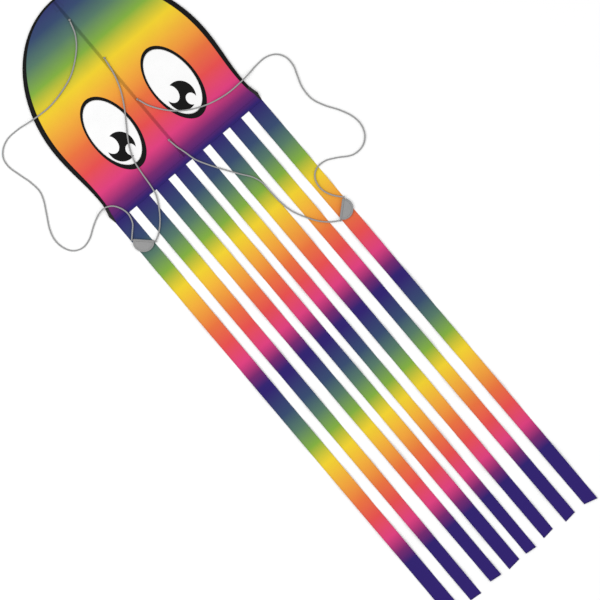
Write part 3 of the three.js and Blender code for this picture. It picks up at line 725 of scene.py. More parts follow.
def rim_place(x, y):
    """How far along the rim from the nose, and how far inside it, for points on the head."""
    across, up = x / HEAD_HALF_WIDTH, np.maximum(y - WIDEST_Y, 0) / DOME_HEIGHT
    angle = np.arctan2(up, np.abs(across) + 1e-9)
    reach = np.hypot(HEAD_HALF_WIDTH * np.cos(angle), DOME_HEIGHT * np.sin(angle))
    in_dome = (1 - np.hypot(across, up)) * reach
    below = side_half_width(np.minimum(y, WIDEST_Y)) - np.abs(x)
    along = (math.pi / 2 - angle) * MEAN_DOME_RADIUS + np.maximum(WIDEST_Y - y, 0)
    return along * np.sign(x + 1e-12), np.where(y > WIDEST_Y, in_dome, below)


LINE_TREE = KDTree(sum(len(path) for path in LINE_PATHS.values()))
for index, place in enumerate(np.vstack(list(LINE_PATHS.values()))):
    LINE_TREE.insert((place[0], place[1], 0), index)
LINE_TREE.balance()


def from_lines(x, y):
    """How far each point is from the nearest line, seen from above."""
    x, y = np.broadcast_arrays(x, y)
    far = [LINE_TREE.find((px, py, 0))[2] for px, py in zip(x.ravel(), y.ravel())]
    return np.reshape(far, x.shape)


def pucker_wave(along):
    """The uneven ripple that sewing leaves along the rim."""
    return np.sin(along / PUCKER_LENGTH + 1.6 * np.sin(along / 0.043))


def sail_height(x, y):
    """Top of the sail: nearly flat, with the spine's ridge, soft creases and puckers at the edge."""
    x, y = np.broadcast_arrays(np.asarray(x, float), np.asarray(y, float))
    along, inside = rim_place(x, y)
    past_border = np.maximum(inside - border_width(y), 0)
    loose = smooth(0.003, 0.016, from_lines(x, y)) * smooth(0.0, 0.012, past_border)
    z = np.full(x.shape, SAIL_TOP)
    z += SPINE_RIDGE * np.exp(-(x / 0.0055) ** 2) * smooth(0.003, 0.016, from_lines(x, y))
    for start, end, half_width, height in FOLDS:
        z += fold_height(x, y, start, end, half_width, height) * loose
    pucker = pucker_wave(along) * (0.7 + 0.3 * np.sin(along / 0.021))
    z += 0.00035 * pucker * np.exp(-past_border / 0.012) * smooth(0.0, 0.004, past_border)
    for kx, ky in KNOTS.values():
        far = np.hypot(x - kx, y - ky)
        turn = np.arctan2(y - ky, x - kx)
        z += 0.0004 * np.cos(5 * turn) * np.exp(-far / 0.022) * smooth(0.0, 0.012, far)
        z -= 0.0005 * np.exp(-(far / 0.009) ** 2)
    return z


GROUND_LAYER = 0.0012  # top of the hem where it lies on the tentacles
DROP_START_Y, DROP_END_Y = 0.6585, 0.6315


def skirt_drop(y):
    """How far the cloth has come down from the sail's height towards the ground, from 0 to 1."""
    return smooth(DROP_START_Y, DROP_END_Y, np.asarray(y, float))


def skirt_height(x, y):
    return mix(sail_height(x, np.maximum(y, HEM_TOP_Y)), GROUND_LAYER, skirt_drop(y))


PRINT_TOP = 1.539  # where the rainbow starts, just past the nose
PRINT_REPEAT = 0.902  # length of cloth that one run of the rainbow takes
NAVY_BAND = 0.0285  # plain navy between the second run and the third


def print_run(y):
    """How many times the rainbow has run, from the nose down."""
    down = PRINT_TOP - np.asarray(y, float)
    down = down - np.clip(down - 2 * PRINT_REPEAT, 0, NAVY_BAND)
    return np.clip(down / PRINT_REPEAT, 0, 3)


def cloth_maps(x, y, hem=None):
    maps = {"cloth_map": stacked(x, y), "print_map": stacked(x, print_run(y))}
    if hem is not None:
        maps["hem_map"] = hem
    return maps


def laid_slab(name, x, y, top, thickness, **more):
    """A slab of cloth over the points x, y with that top height."""
    return slab(name, stacked(x, y, top), stacked(x, y, top - thickness), cloth_maps(x, y, **more))


# ---- head sail ----

SAIL_LOW_Y = 0.651
TUCK = 0.004  # how far the sail runs in under the edge binding
CHANNEL_WIDTH = 0.0083  # the rod's channel in the edge binding, which the sail stays clear of


def sail_half_widths():
    """Heights from the hem to the nose, and half the sail's width at each."""
    rim, inwards = rim_half(SAIL_LOW_Y - 0.004, 0.005)
    inset = np.maximum(border_width(rim[:, 1]) - TUCK, CHANNEL_WIDTH)
    edge = rim + inwards * inset[:, None]
    keep = np.concatenate([[True], np.diff(edge[:, 1]) > 0]) & (edge[:, 1] > SAIL_LOW_Y)
    edge = edge[keep]
    edge[-1, 0] = max(edge[-1, 0], 0.0015)
    return edge[:, 1], np.maximum(edge[:, 0], 0.0015)


def build_sail(heights, half_widths):
    """Rows from the hem to the nose, with closer columns over the spine."""
    share = np.linspace(0, 1, 74)[1:]
    near = np.minimum(0.012, 0.25 * half_widths)[:, None]
    outer = near + (half_widths[:, None] - near) * share
    x = np.concatenate([-outer[:, ::-1], near * np.linspace(-1, 1, 13), outer], axis=1)
    y = np.broadcast_to(heights[:, None], x.shape)
    return laid_slab("sail_panel", x, y, sail_height(x, y), SAIL_THICKNESS)


heights, half_widths = sail_half_widths()
sail = finish_piece(build_sail(heights, half_widths), "sail", "kite")
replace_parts(sail, "head_sail")

# ---- stitching ----

THREAD = 0.00035


def stitch_parts(path, along, lift, length=0.0026):
    """Short arched stitches, one at each point of the path."""
    parts = []
    for place, way in zip(path, along):
        bit = np.array([place + way * length * part for part in (-1 / 2, -1 / 4, 1 / 4, 1 / 2)])
        bit[1:3, 2] += lift
        radius = np.array([0.5, 1, 1, 0.5]) * THREAD
        parts.append(lambda first, p=bit, r=radius: tube_parts(p, r, 5, False, first))
    return parts


def row_of_stitches(path, height, pitch=STITCH):
    """Stitches along a path of x and y, lying on the surface whose height is given."""
    path = resampled(path, step=pitch)
    along = directions(path)
    z = height(path[:, 0], path[:, 1])
    places = np.column_stack([path, z])
    ways = np.column_stack([along, np.zeros(len(along))])
    return stitch_parts(places, ways, THREAD * 0.6)


def zigzag(name, outline, half_width, pitch, height, finish):
    """One long thread that swings from side to side of a closed outline."""
    base = resampled(np.vstack([outline, outline[:1]]), step=pitch / 2)[:-1]
    along = directions(base, closed=True)
    out = stacked(along[:, 1], -along[:, 0])
    swing = np.where(np.arange(len(base)) % 2 == 0, 1.0, -1.0)[:, None] * half_width
    path = base + out * swing
    z = height(path[:, 0], path[:, 1]) + THREAD * 0.5
    piece = tube(name, np.column_stack([path, z]), THREAD, 5, closed=True)
    return finish_piece(piece, finish, "kite")


# ---- folded strips ----


def offset_profile(profile, distance):
    way = directions(profile)
    return profile + stacked(way[:, 1], -way[:, 0]) * distance


def folded_strip(name, cloth, runs, profiles, spot, flat=None):
    """A strip with a folded section at each run along it, and its girth at each.

    spot(i, u, z) gives the points of section i, u across and z up. flat is the section that the
    cloth's map is measured on, if it isn't each profile itself.
    """
    grids, maps = {1: [], -1: []}, []
    for i, profile in enumerate(profiles):
        maps.append(stacked(run_lengths(profile if flat is None else flat), runs[i]))
        for side, grid in grids.items():
            u, z = offset_profile(profile, side * cloth / 2).T
            grid.append(spot(i, u, z))
    outer, inner = np.array(grids[1]), np.array(grids[-1])
    piece = slab(name, outer, inner, {"cloth_map": np.array(maps)})
    return piece, lengths_across((outer + inner) / 2)


# ---- edge binding ----

BINDING_STEP = 0.004
BINDING_CLOTH = 0.00045
CHANNEL_CENTRE = (0.0042, 0.0036)
CHANNEL_REACH = (0.0039, 0.0034)


def binding_profile(width, along):
    """The binding's section, as distances in from the outline and heights.

    It runs from the strip's upper inner edge, round the rod, to its lower inner edge.
    """
    wave = pucker_wave(along)
    slow = np.sin(along / 0.031) * 0.5 + np.sin(along / 0.0117 + 1) * 0.5
    top = SAIL_TOP + 0.0003
    under = SAIL_TOP - SAIL_THICKNESS - 0.0004
    root = min(CHANNEL_CENTRE[0] + CHANNEL_REACH[0] + 0.0008, width - 0.0006)
    flat = np.linspace(width, root, 6)
    rise = np.sin(np.linspace(0, math.pi, 6)) * min(1, (width - root) / 0.008)
    upper = [(u, top + 0.00022 * wave * r + 0.0001) for u, r in zip(flat, rise)]
    lower = [(u, under - 0.0002 * wave * r) for u, r in zip(flat, rise)]
    angle = np.linspace(0.75, 2 * math.pi - 0.5, 17)
    puff = 1 + 0.035 * slow
    ring = [
        (CHANNEL_CENTRE[0] + CHANNEL_REACH[0] * math.cos(a) * (1 + 0.02 * wave),
         CHANNEL_CENTRE[1] + CHANNEL_REACH[1] * math.sin(a) * (puff if math.sin(a) > 0 else 1))
        for a in angle
    ]
    return np.array([*upper, *ring, *lower[::-1]])


def build_binding():
    rim, inwards = whole_rim(SLEEVE_END_Y, BINDING_STEP)
    along = rim_place(rim[:, 0], rim[:, 1])[0]
    widths = border_width(rim[:, 1])
    profiles = [binding_profile(float(width), run) for width, run in zip(widths, along)]
    piece, girths = folded_strip(
        "edge_binding", BINDING_CLOTH, along, profiles,
        lambda i, u, z: np.column_stack([rim[i] + inwards[i] * u[:, None], z]),
    )
    return piece, strip_cut(girths, run_lengths(rim))


binding, binding_cut = build_binding()
finish_piece(binding, "black", "kite")
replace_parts(binding, "edge_sleeve")

BINDING_TOP = SAIL_TOP + 0.0003 + 0.0001 + BINDING_CLOTH / 2


def binding_row(inset):
    """A row of stitches at a distance in from the rim, which is a function of the border's width."""
    rim, inwards = whole_rim(SLEEVE_END_Y + 0.006, 0.004)
    distance = inset(border_width(rim[:, 1]))
    path = rim + inwards * distance[:, None]
    return row_of_stitches(path, lambda x, y: np.full(len(x), BINDING_TOP))


binding_rows = binding_row(lambda width: width - 0.0016)
binding_rows += binding_row(lambda width: np.maximum(width - 0.0075, 0.0072))
binding_stitches = finish_piece(
    joined("binding_stitches", binding_rows), "dark_thread", "kite"
)

# ---- corner tabs ----

TAB_CLOTH = 0.0006
TAB_OVERHANG = 0.0004
TAB_TOP_LOW, TAB_TOP_HIGH = 0.0020, 0.0077  # height of its upper layer at its two ends
TAB_LOW_Y, TAB_HIGH_Y = SKIRT_Y - 0.001, SLEEVE_END_Y + 0.006


def tab_profile(width, y):
    """The folded tab's section: over the sail, round the outline, and back under it."""
    opening = smooth(TAB_LOW_Y, TAB_LOW_Y + 0.024, y)
    top = mix(TAB_TOP_LOW, TAB_TOP_HIGH, opening)
    bottom = TAB_CLOTH / 2 + 0.0001
    middle, half = (top + bottom) / 2, (top - bottom) / 2
    flat = np.linspace(width + 0.0006, 0.0022, 8)
    ridge = 0.0003 * opening * np.exp(-((flat - 0.005) / 0.0042) ** 2)
    crease = 0.00012 * math.sin(y / 0.0016)
    angle = np.linspace(math.pi / 2, 3 * math.pi / 2, 9)[1:-1]
    return np.vstack([
        stacked(flat, top + ridge + crease),
        stacked(0.0022 + 0.0020 * np.cos(angle), middle + half * np.sin(angle)),
        stacked(flat[::-1], bottom),
    ])


def corner_tab(side, sign):
    """A tab of webbing folded over the ends of the rod and the binding."""
    rows = np.linspace(TAB_LOW_Y, TAB_HIGH_Y, 34)
    piece, girths = folded_strip(
        f"corner_patch_{side}", TAB_CLOTH, rows,
        [tab_profile(float(border_width(y)), y) for y in rows],
        lambda i, u, z: stacked(sign * (side_half_width(rows[i]) + TAB_OVERHANG - u), rows[i], z),
    )
    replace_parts(finish_piece(piece, "webbing", "kite"), f"corner_tab_{side}")


corner_tab("right", 1)
corner_tab("left", -1)

# ---- hem ----

HEM_LAYER = 0.0007
HEM_LIP = 0.003  # how far the hem reaches past the line where it starts and past the seam


def build_hem():
    """The doubled hem that slopes from the sail down on to the tops of the tentacles."""
    rows, columns = 15, 161
    high, low = HEM_TOP_Y + HEM_LIP, SEAM_Y - HEM_LIP
    y = np.linspace(high, low, rows)[:, None]
    at = np.maximum(y, SKIRT_Y)
    half = side_half_width(at) - border_width(at) + 0.0008
    x = half * np.linspace(-1, 1, columns)
    y = y + 0 * x
    edge = smooth(0.0, 0.002, high - y) * smooth(0.0, 0.002, y - low)
    gather = 0.00018 * np.sin(x / 0.0031 + 1.3 * np.sin(x / 0.037))
    top = skirt_height(x, y) + 0.0002 + (HEM_LAYER - 0.0002) * edge + gather * edge
    hem_map = stacked(np.minimum(high - y, y - low), x)
    return laid_slab("hem_band", x, y, top, HEM_LAYER, hem=hem_map)


hem = finish_piece(build_hem(), "tail", "kite")
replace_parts(hem, "skirt_hem")

# ---- tentacles ----

FOLD_Y = -0.012
TENTACLES = [
    {"seam": (-0.390, -0.3195), "end": (-0.388, -0.326), "short": (0.000, 0.016)},
    {"seam": (-0.280, -0.212), "end": (-0.276, -0.224), "short": (0.015, 0.010)},
    {"seam": (-0.1745, -0.111), "end": (-0.1655, -0.113), "short": (0.022, 0.016)},
    {"seam": (-0.0755, -0.0175), "end": (-0.074, -0.016), "short": (0.010, 0.016)},
    {"seam": (0.0175, 0.0745), "end": (0.019, 0.068), "short": (0.015, 0.010)},
    {"seam": (0.1105, 0.1795), "end": (0.1155, 0.168), "short": (0.016, 0.022)},
    {"seam": (0.217, 0.2775), "end": (0.227, 0.280), "short": (0.010, 0.016)},
    {"seam": (0.319, 0.390), "end": (0.3305, 0.388), "short": (0.016, 0.000)},
]
TAIL_CLOTH, TAIL_HEM_CLOTH = 0.0004, 0.0008
HEM_STEPS = np.array([0, 0.0004, 0.0022, 0.0042, 0.0052])  # across a tentacle's side hem
LONG_LIFT, SHORT_LIFT, LEAN_LIFT, FLUTTER_LIFT = 0.0014, 0.0004, 0.0016, 0.0004
CLEAR_OF_GROUND = 0.00005
TAIL_TOP_Y = SEAM_Y + 0.008
GRIP_POINTS = np.array([grip["place"] for grip in GRIPS.values()])


def clear_of_all(x, y):
    """0 under the lines and grips that lie on the tentacles, and 1 well away from them."""
    far = from_lines(x, y)
    for px, py in GRIP_POINTS:
        far = np.minimum(far, np.maximum(np.hypot(x - px, y - py) - 0.045, 0))
    return smooth(0.006, 0.060, far)


def tail_rows(end_y):
    """Heights of the rows from the seam to the end, close together at the fold."""
    fold = (FOLD_Y - 0.048, FOLD_Y + 0.006)
    upper = np.linspace(TAIL_TOP_Y, fold[1], 60)
    close = np.linspace(fold[1], fold[0], 28)[1:]
    lower = np.linspace(fold[0], end_y, 150)[1:]
    return np.concatenate([upper, close, lower])


def build_tail(number, tentacle, rng):
    start_y, end_y = SEAM_Y, -HALF_LENGTH
    y = tail_rows(end_y)[:, None]
    down = np.clip((start_y - y) / (start_y - end_y), 0, 1)
    left = mix(tentacle["seam"][0], tentacle["end"][0], down)
    right = mix(tentacle["seam"][1], tentacle["end"][1], down)
    middle = np.linspace(0, 1, 11)[1:-1]
    inner_left, inner_right = left + HEM_STEPS[-1], right - HEM_STEPS[-1]
    x = np.concatenate([
        left + HEM_STEPS,
        mix(inner_left, inner_right, middle[None]),
        right - HEM_STEPS[::-1],
    ], axis=1)
    across = (x - left) / (right - left)
    cut = mix(*tentacle["short"], across)
    y = y + cut * smooth(0.1, 0.0, y - end_y) + 0 * x
    phases = rng.uniform(0, 2 * math.pi, 6)
    run = start_y - y
    long_wave = np.sin(run / 0.047 + phases[0] + 0.9 * np.sin(run / 0.19 + phases[1]))
    short_wave = np.sin(run / 0.019 + phases[2] + 1.4 * across)
    lean = np.sin(run / 0.083 + phases[3])
    flutter = np.sin(run / 0.0125 + phases[4])
    edge = np.abs(2 * across - 1) ** 2
    swell = 0.6 + 0.4 * np.sin(run / 0.14 + phases[5])
    lift = LONG_LIFT * (1 + long_wave) + SHORT_LIFT * (1 + short_wave)
    lift += LEAN_LIFT * (1 + lean * (2 * across - 1)) * swell
    lift += FLUTTER_LIFT * (1 + flutter) * edge
    lift *= clear_of_all(x, y) * smooth(SEAM_Y - 0.01, SEAM_Y - 0.16, y)
    inset = np.minimum(x - left, right - x)
    inset = np.minimum(inset, np.maximum(y - end_y - cut, 0))
    layer = mix(TAIL_HEM_CLOTH, TAIL_CLOTH, smooth(HEM_STEPS[-2], HEM_STEPS[-1], inset))
    tucked = np.maximum(skirt_height(x, y) - 0.0002, GROUND_LAYER) - GROUND_LAYER
    bottom = CLEAR_OF_GROUND + lift + np.where(y > SEAM_Y - 0.004, tucked, 0) * 0.8
    maps = cloth_maps(x, y, hem=stacked(inset, y))
    return slab(f"tail_{number}", stacked(x, y, bottom + layer), stacked(x, y, bottom), maps)


rng = np.random.default_rng(8)
for number, tentacle in enumerate(TENTACLES, start=1):
    tail = finish_piece(build_tail(number, tentacle, rng), "tail")
    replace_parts(tail, f"tentacle_{number}_upper", f"tentacle_{number}_lower")
    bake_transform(tail)

# ---- spine sleeve and pockets ----

SPINE_LOW_Y, SPINE_HIGH_Y = 0.6803, 1.4397
SPINE_CLOTH = 0.0004
SPINE_HALF_SECTION = [  # from under the rod out to the sewn edge
    (0.0000, 0.00025), (0.0013, 0.00040), (0.0024, 0.00110), (0.0031, 0.00270), (0.0033, 0.00460),
    (0.0037, 0.00560), (0.0046, 0.00600), (0.0060, 0.00605), (0.0074, 0.00605),
]


def spine_profile(section, y):
    """The sleeve's section, a little wider or narrower round the rod from place to place."""
    hang = 0.00012 * math.sin(y / 0.006) + 0.00010 * math.sin(y / 0.0173 + 1)
    profile = section.copy()
    profile[:, 0] *= 1 + hang / 0.003 * (profile[:, 1] < 0.0056)
    return profile


def build_spine_tube():
    """A strip of cloth folded under the rod, with its two edges sewn to the sail."""
    rows = np.linspace(SPINE_LOW_Y, SPINE_HIGH_Y, 130)
    mirrored = [(-x, z) for x, z in SPINE_HALF_SECTION[:0:-1]]
    section = np.array(mirrored + SPINE_HALF_SECTION)
    piece, girths = folded_strip(
        "spine_tube", SPINE_CLOTH, rows, [spine_profile(section, y) for y in rows],
        lambda i, u, z: stacked(u, rows[i], z), flat=section,
    )
    return piece, strip_cut(girths, rows)


spine_tube, spine_cut = build_spine_tube()
finish_piece(spine_tube, "black", "kite")
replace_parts(spine_tube, "spine_sleeve")

UNDER_SAIL = 0.0060
POCKET_CLOTH = 0.0005


def spine_pocket(name, node, low_y, high_y, low_half, high_half, closed_end):
    """A patch of webbing under the sail round the spine's end. closed_end is 1 if it is the upper."""
    rows, columns = 21, 25
    y = np.linspace(low_y, high_y, rows)[:, None]
    share = np.linspace(-1, 1, columns)[None]
    x = mix(low_half, high_half, (y - low_y) / (high_y - low_y)) * share
    y = y + 0 * x
    hump = np.exp(-(x / 0.0045) ** 4)
    to_end = (high_y - y if closed_end > 0 else y - low_y) / 0.0035
    hump = hump * smooth(0.0, 1.0, to_end)
    bottom = mix(UNDER_SAIL - POCKET_CLOTH, 0.0001, hump)
    top = bottom + POCKET_CLOTH
    piece = slab(name, stacked(x, y, top), stacked(x, y, bottom), {"cloth_map": stacked(x, y)})
    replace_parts(finish_piece(piece, "webbing", "kite"), node)


spine_pocket("nose_patch", "nose_pocket", 1.440, 1.483, 0.022, 0.015, 1)
spine_pocket("spine_end_patch", "spine_end_pocket", 0.660, 0.680, 0.018, 0.018, -1)


def on_sail(x, y):
    return sail_height(x, y) + THREAD * 0.3


spine_rows = []
for sign in (-1, 1):
    edge = [(sign * 0.0062, SPINE_LOW_Y), (sign * 0.0062, SPINE_HIGH_Y)]
    spine_rows += row_of_stitches(edge, on_sail)
for low, high, half in ((1.444, 1.478, (0.019, 0.013)), (0.664, 0.677, (0.0155, 0.0155))):
    box = [(-half[0], low), (half[0], low), (half[1], high), (-half[1], high), (-half[0], low)]
    spine_rows += row_of_stitches(box, on_sail)
spine_stitches = finish_piece(
    joined("spine_stitches", spine_rows), "dark_thread", "kite"
)

# ---- eyes ----

EYES = {"left": -0.161, "right": 0.161}
EYE_Y = 0.918
EYE_LAYER = 0.00020
EYE_RADII = (0.0975, 0.176)
WHITE_OFFSET, WHITE_RADII = (-0.0013, 0.0045), (0.087, 0.156)
PUPIL_OFFSET, PUPIL_RADII = (-0.011, -0.0625), (0.057, 0.064)
ZIGZAG_REACH, ZIGZAG_PITCH, ZIGZAG_INSET = 0.0011, 0.0018, 0.0016
HIGHLIGHTS = [((-0.028, 0.0315), (0.029, 0.040)), ((0.0235, -0.0355), (0.0215, 0.026))]


def oval(centre, radii, count=180):
    angle = np.arange(count) / count * 2 * math.pi
    return np.array(centre) + stacked(radii[0] * np.cos(angle), radii[1] * np.sin(angle))


def inside_oval(points, centre, radii):
    return np.hypot(*((points - np.array(centre)) / np.array(radii)).T) < 1


def oval_layer(name, centre, radii, level):
    """A filled oval that follows the sail, from a square grid drawn into a disc."""
    side = np.linspace(-1, 1, 57)
    a, b = np.meshgrid(side, side)
    x = centre[0] + radii[0] * a * np.sqrt(1 - b ** 2 / 2)
    y = centre[1] + radii[1] * b * np.sqrt(1 - a ** 2 / 2)
    top = sail_height(x, y) + (level + 1) * EYE_LAYER
    return laid_slab(name, x, y, top, EYE_LAYER * 0.9)


def bitten_outline(centre, radii, bites, count=220):
    """An oval's outline with other ovals bitten out of its edge."""
    base = oval(centre, radii, count)
    places = [(np.array(centre) + offset, bite_radii) for offset, bite_radii in bites]
    bitten = np.array([inside_oval(base, *place) for place in places])
    kept_first = int(np.argmax(~bitten.any(axis=0) & bitten.any(axis=0)[np.arange(count) - 1]))
    base, bitten = np.roll(base, -kept_first, axis=0), np.roll(bitten, -kept_first, axis=1)
    outline, i = [], 0
    while i < count:
        if not bitten[:, i].any():
            outline.append(base[i])
            i += 1
            continue
        which = int(np.argmax(bitten[:, i]))
        arc = oval(*places[which], count)[::-1]
        within = inside_oval(arc, centre, radii)
        arc = np.roll(arc, -int(np.argmax(within & ~np.roll(within, 1))), axis=0)
        outline += list(arc[:int(within.sum())])
        while i < count and bitten[which, i]:
            i += 1
    return np.array(outline)


def patch_layer(name, outline, level, spacing=0.005):
    """A flat cut of any outline that follows the sail."""
    low, high = outline.min(0), outline.max(0)
    gx, gy = np.meshgrid(np.arange(low[0], high[0], spacing), np.arange(low[1], high[1], spacing))
    grid = stacked(gx, gy).reshape(-1, 2)
    gaps = np.hypot(*(grid[:, None] - outline[None]).transpose(2, 0, 1)).min(axis=1)
    grid = grid[gaps > spacing * 0.6]
    count = len(outline)
    points = [Vector(p) for p in np.vstack([outline, grid])]
    edges = [(i, (i + 1) % count) for i in range(count)]
    flat, _, faces, *_ = delaunay_2d_cdt(points, edges, [], 1, 1e-7)
    xy = np.array(flat)
    top = sail_height(xy[:, 0], xy[:, 1]) + (level + 1) * EYE_LAYER
    total = len(xy)
    uses = {}
    for face in faces:
        for a, b in zip(face, face[1:] + face[:1]):
            uses[a, b] = uses.get((b, a), 0) == 0
            if (b, a) in uses:
                uses[b, a] = uses[a, b] = False
    sides = [(b, a, a + total, b + total) for (a, b), lone in uses.items() if lone]
    all_faces = [*faces, *[tuple(v + total for v in face[::-1]) for face in faces], *sides]
    both = np.vstack([np.column_stack([xy, top]), np.column_stack([xy, top - EYE_LAYER * 0.9])])
    maps = {key: np.vstack([m, m]) for key, m in cloth_maps(xy[:, 0], xy[:, 1]).items()}
    return add_mesh(name, both, all_faces, maps)


def layer_top(level):
    return lambda x, y: sail_height(x, y) + (level + 1) * EYE_LAYER


def zigzag_round(name, centre, radii, level, finish):
    """The zigzag thread just inside the edge of an oval layer."""
    inner = oval(centre, np.array(radii) - ZIGZAG_INSET)
    return zigzag(name, inner, ZIGZAG_REACH, ZIGZAG_PITCH, layer_top(level), finish)


for side, eye_x in EYES.items():
    centre = np.array([eye_x, EYE_Y])
    white_centre = centre + WHITE_OFFSET
    black = oval_layer(f"eye_ring_{side}", centre, EYE_RADII, 0)
    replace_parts(finish_piece(black, "black", "kite"), f"eye_outline_{side}")
    white = oval_layer(f"eye_ball_{side}", white_centre, WHITE_RADII, 1)
    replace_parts(finish_piece(white, "white", "kite"), f"eye_white_{side}")
    pupil_outline = bitten_outline(centre + PUPIL_OFFSET, PUPIL_RADII, HIGHLIGHTS)
    pupil = patch_layer(f"eye_pupil_{side}", pupil_outline, 2)
    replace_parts(finish_piece(pupil, "black", "kite"), f"pupil_{side}")
    ring_thread = zigzag_round(
        f"eye_ring_stitch_{side}", centre, EYE_RADII, 0, "dark_thread"
    )
    white_thread = zigzag_round(
        f"eye_ball_stitch_{side}", white_centre, WHITE_RADII, 1, "white_thread"
    )

# ---- hand grips ----

GRIP_HALF_CHORD, GRIP_DEPTH = 0.043, 0.0455
GRIP_HALF_THICKNESS, GRIP_TUBE, GRIP_BORE = 0.0045, 0.0055, 0.0024
PAD_START = -0.0042  # where the pad begins, from the axis of the line's channel
PAD_REACH = GRIP_DEPTH - 0.0052
PAD_EDGE = 0.0010  # half the pad's thickness at its rim
PAD_DROOP = 0.0009
GROOVE = 0.86  # the sewn groove's place, as a share of the way out to the rim
WELT_RADIUS = 0.0013


def from_grip_axes(points, grip):
    """From the grip's own axes, along its straight edge and towards its round one, to the frame's."""
    angle = math.radians(grip["heading"])
    c, s = math.cos(angle), math.sin(angle)
    points = np.asarray(points, float)
    x = grip["place"][0] + c * points[..., 0] - s * points[..., 1]
    y = grip["place"][1] + s * points[..., 0] + c * points[..., 1]
    return stacked(x, y, points[..., 2] + GRIP_AXIS_Z)


def pad_swell(rho):
    """Half the pad's thickness, without its groove, at a share of the way out to its rim."""
    return PAD_EDGE + (GRIP_HALF_THICKNESS - PAD_EDGE) * np.sqrt(1 - rho ** 5)


def grip_pad(side, grip):
    """The half-moon pad: crowned, with a sewn groove inside its round edge."""
    a, b = np.meshgrid(np.linspace(-1, 1, 61), np.linspace(0, -1, 37))
    u, v = a * np.sqrt(1 - b ** 2 / 2), b * np.sqrt(1 - a ** 2 / 2)
    x, y = GRIP_HALF_CHORD * u, PAD_START + PAD_REACH * v
    rho = np.clip(np.hypot(u, v), 0, 1)
    crown = pad_swell(rho)
    crown *= 1 - 0.30 * np.exp(-((rho - GROOVE) / 0.035) ** 2)
    angle = np.arctan2(v, u)
    crown += 0.00022 * np.sin(angle * 34) * np.exp(-((rho - 0.93) / 0.05) ** 2)
    droop = -PAD_DROOP * smooth(0.0, -1.0, v)
    top = from_grip_axes(stacked(x, y, droop + crown), grip)
    bottom = from_grip_axes(stacked(x, y, droop - crown), grip)
    return slab(f"grip_pad_{side}", top, bottom, {"cloth_map": stacked(x, y)})


def revolved(name, profile, sides, grip):
    """A closed section of (along, radius), turned about the grip's axis."""
    points = []
    for k in range(sides):
        angle = k / sides * 2 * math.pi
        points += [(x, r * math.cos(angle), r * math.sin(angle)) for x, r in profile]
    n = len(profile)
    faces, pairs = [], []
    for k in range(sides):
        for i in range(n):
            j, m = (i + 1) % n, (k + 1) % sides
            faces.append((k * n + i, k * n + j, m * n + j, m * n + i))
            pairs += [(profile[i][0], k / sides), (profile[j][0], k / sides),
                      (profile[j][0], (k + 1) / sides), (profile[i][0], (k + 1) / sides)]
    return add_mesh(name, from_grip_axes(points, grip), faces, {"strand_map": pairs})


def channel_section():
    """The bound channel that the line runs through: its ribbed outside and its bore."""
    runs = np.linspace(-GRIP_HALF_CHORD, GRIP_HALF_CHORD, 44)
    ends = 0.0014 * np.abs(runs / GRIP_HALF_CHORD) ** 14
    ribs = 0.00012 * np.sin(runs / 0.0009)
    return [*zip(runs, GRIP_TUBE - ends + ribs), *[(x, GRIP_BORE) for x in runs[::-1]]]


def welt_path():
    """The line of the welt round the pad's rim."""
    angle = np.linspace(0.06, math.pi - 0.06, 90)
    c, s = np.cos(angle), np.sin(angle)
    return stacked(GRIP_HALF_CHORD * c, PAD_START - PAD_REACH * s, -PAD_DROOP * s)


def groove_path():
    """The line of stitches at the bottom of the pad's groove."""
    angle = np.linspace(0.12, math.pi - 0.12, 30)
    u, v = GROOVE * np.cos(angle), -GROOVE * np.sin(angle)
    top = 0.7 * pad_swell(GROOVE) - PAD_DROOP * smooth(0.0, -1.0, v)
    return stacked(GRIP_HALF_CHORD * u, PAD_START + PAD_REACH * v, top)


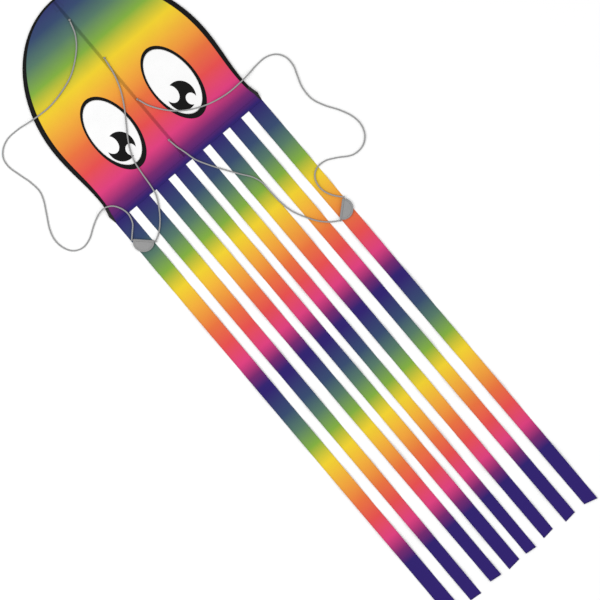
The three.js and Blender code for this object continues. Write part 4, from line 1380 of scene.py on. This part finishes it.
for side, grip in GRIPS.items():
    body = f"grip_{side}"
    pad = finish_piece(grip_pad(side, grip), "grip", body)
    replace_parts(pad, f"hand_grip_{side}")
    channel = revolved(f"grip_channel_{side}", channel_section(), 28, grip)
    finish_piece(channel, "grip_binding", body)
    welt = tube(f"grip_welt_{side}", from_grip_axes(welt_path(), grip), WELT_RADIUS, 8)
    finish_piece(welt, "grip_binding", body)
    groove = from_grip_axes(groove_path(), grip)
    stitches = joined(f"grip_stitches_{side}", stitch_parts(groove, directions(groove), THREAD))
    finish_piece(stitches, "grey_thread", body)

# ---- CAD pieces that stay ----

KEPT_NODES = {
    "hoop_rod_left": "rod",
    "hoop_rod_right": "rod",
    "spine_rod": "rod",
    "nose_ferrule": "metal",
    "rod_end_cap_left": "cap",
    "rod_end_cap_right": "cap",
}
for node, finish in KEPT_NODES.items():
    for material_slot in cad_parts[node].material_slots:
        material_slot.link = "OBJECT"
        material_slot.material = FINISHES[finish]

# ---- floor and light ----


def build_floor():
    f = Finish("floor", Specular_IOR_Level=0.0)
    tone = f.scaled(f.noise(f.place(), 3.0, 4), 0.012, 0.94)
    colour = f.add("CombineColor", {0: tone, 1: tone, 2: tone})
    rough = f.scaled(f.noise(f.place(), 20.0), 0.1, 0.85)
    half = 60
    corners = [(-half, -half, 0), (half, -half, 0), (half, half, 0), (-half, half, 0)]
    floor = add_mesh("floor", corners, [(0, 1, 2, 3)])
    floor.data.materials.append(f.feed(colour, rough))
    floor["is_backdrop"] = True


def soft_light(name, place, size, power):
    data = bpy.data.lights.new(name, "AREA")
    data.shape, data.size, data.energy = "SQUARE", size, power
    lamp = bpy.data.objects.new(name, data)
    lamp.location = place
    lamp.rotation_euler = (-Vector(place)).to_track_quat("-Z", "Y").to_euler()
    lamp.visible_camera = False
    bpy.context.scene.collection.objects.link(lamp)


build_floor()
soft_light("key", (-5.0, 2.5, 5.0), 4.0, 205)
soft_light("fill", (4.5, -3.5, 5.0), 5.0, 100)

world = bpy.data.worlds.new("studio")
world.use_nodes = True
world.node_tree.nodes["Background"].inputs["Color"].default_value = (1, 1, 1, 1)
world.node_tree.nodes["Background"].inputs["Strength"].default_value = 0.775
bpy.context.scene.world = world
bpy.context.scene.view_settings.view_transform = "Standard"

low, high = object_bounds()
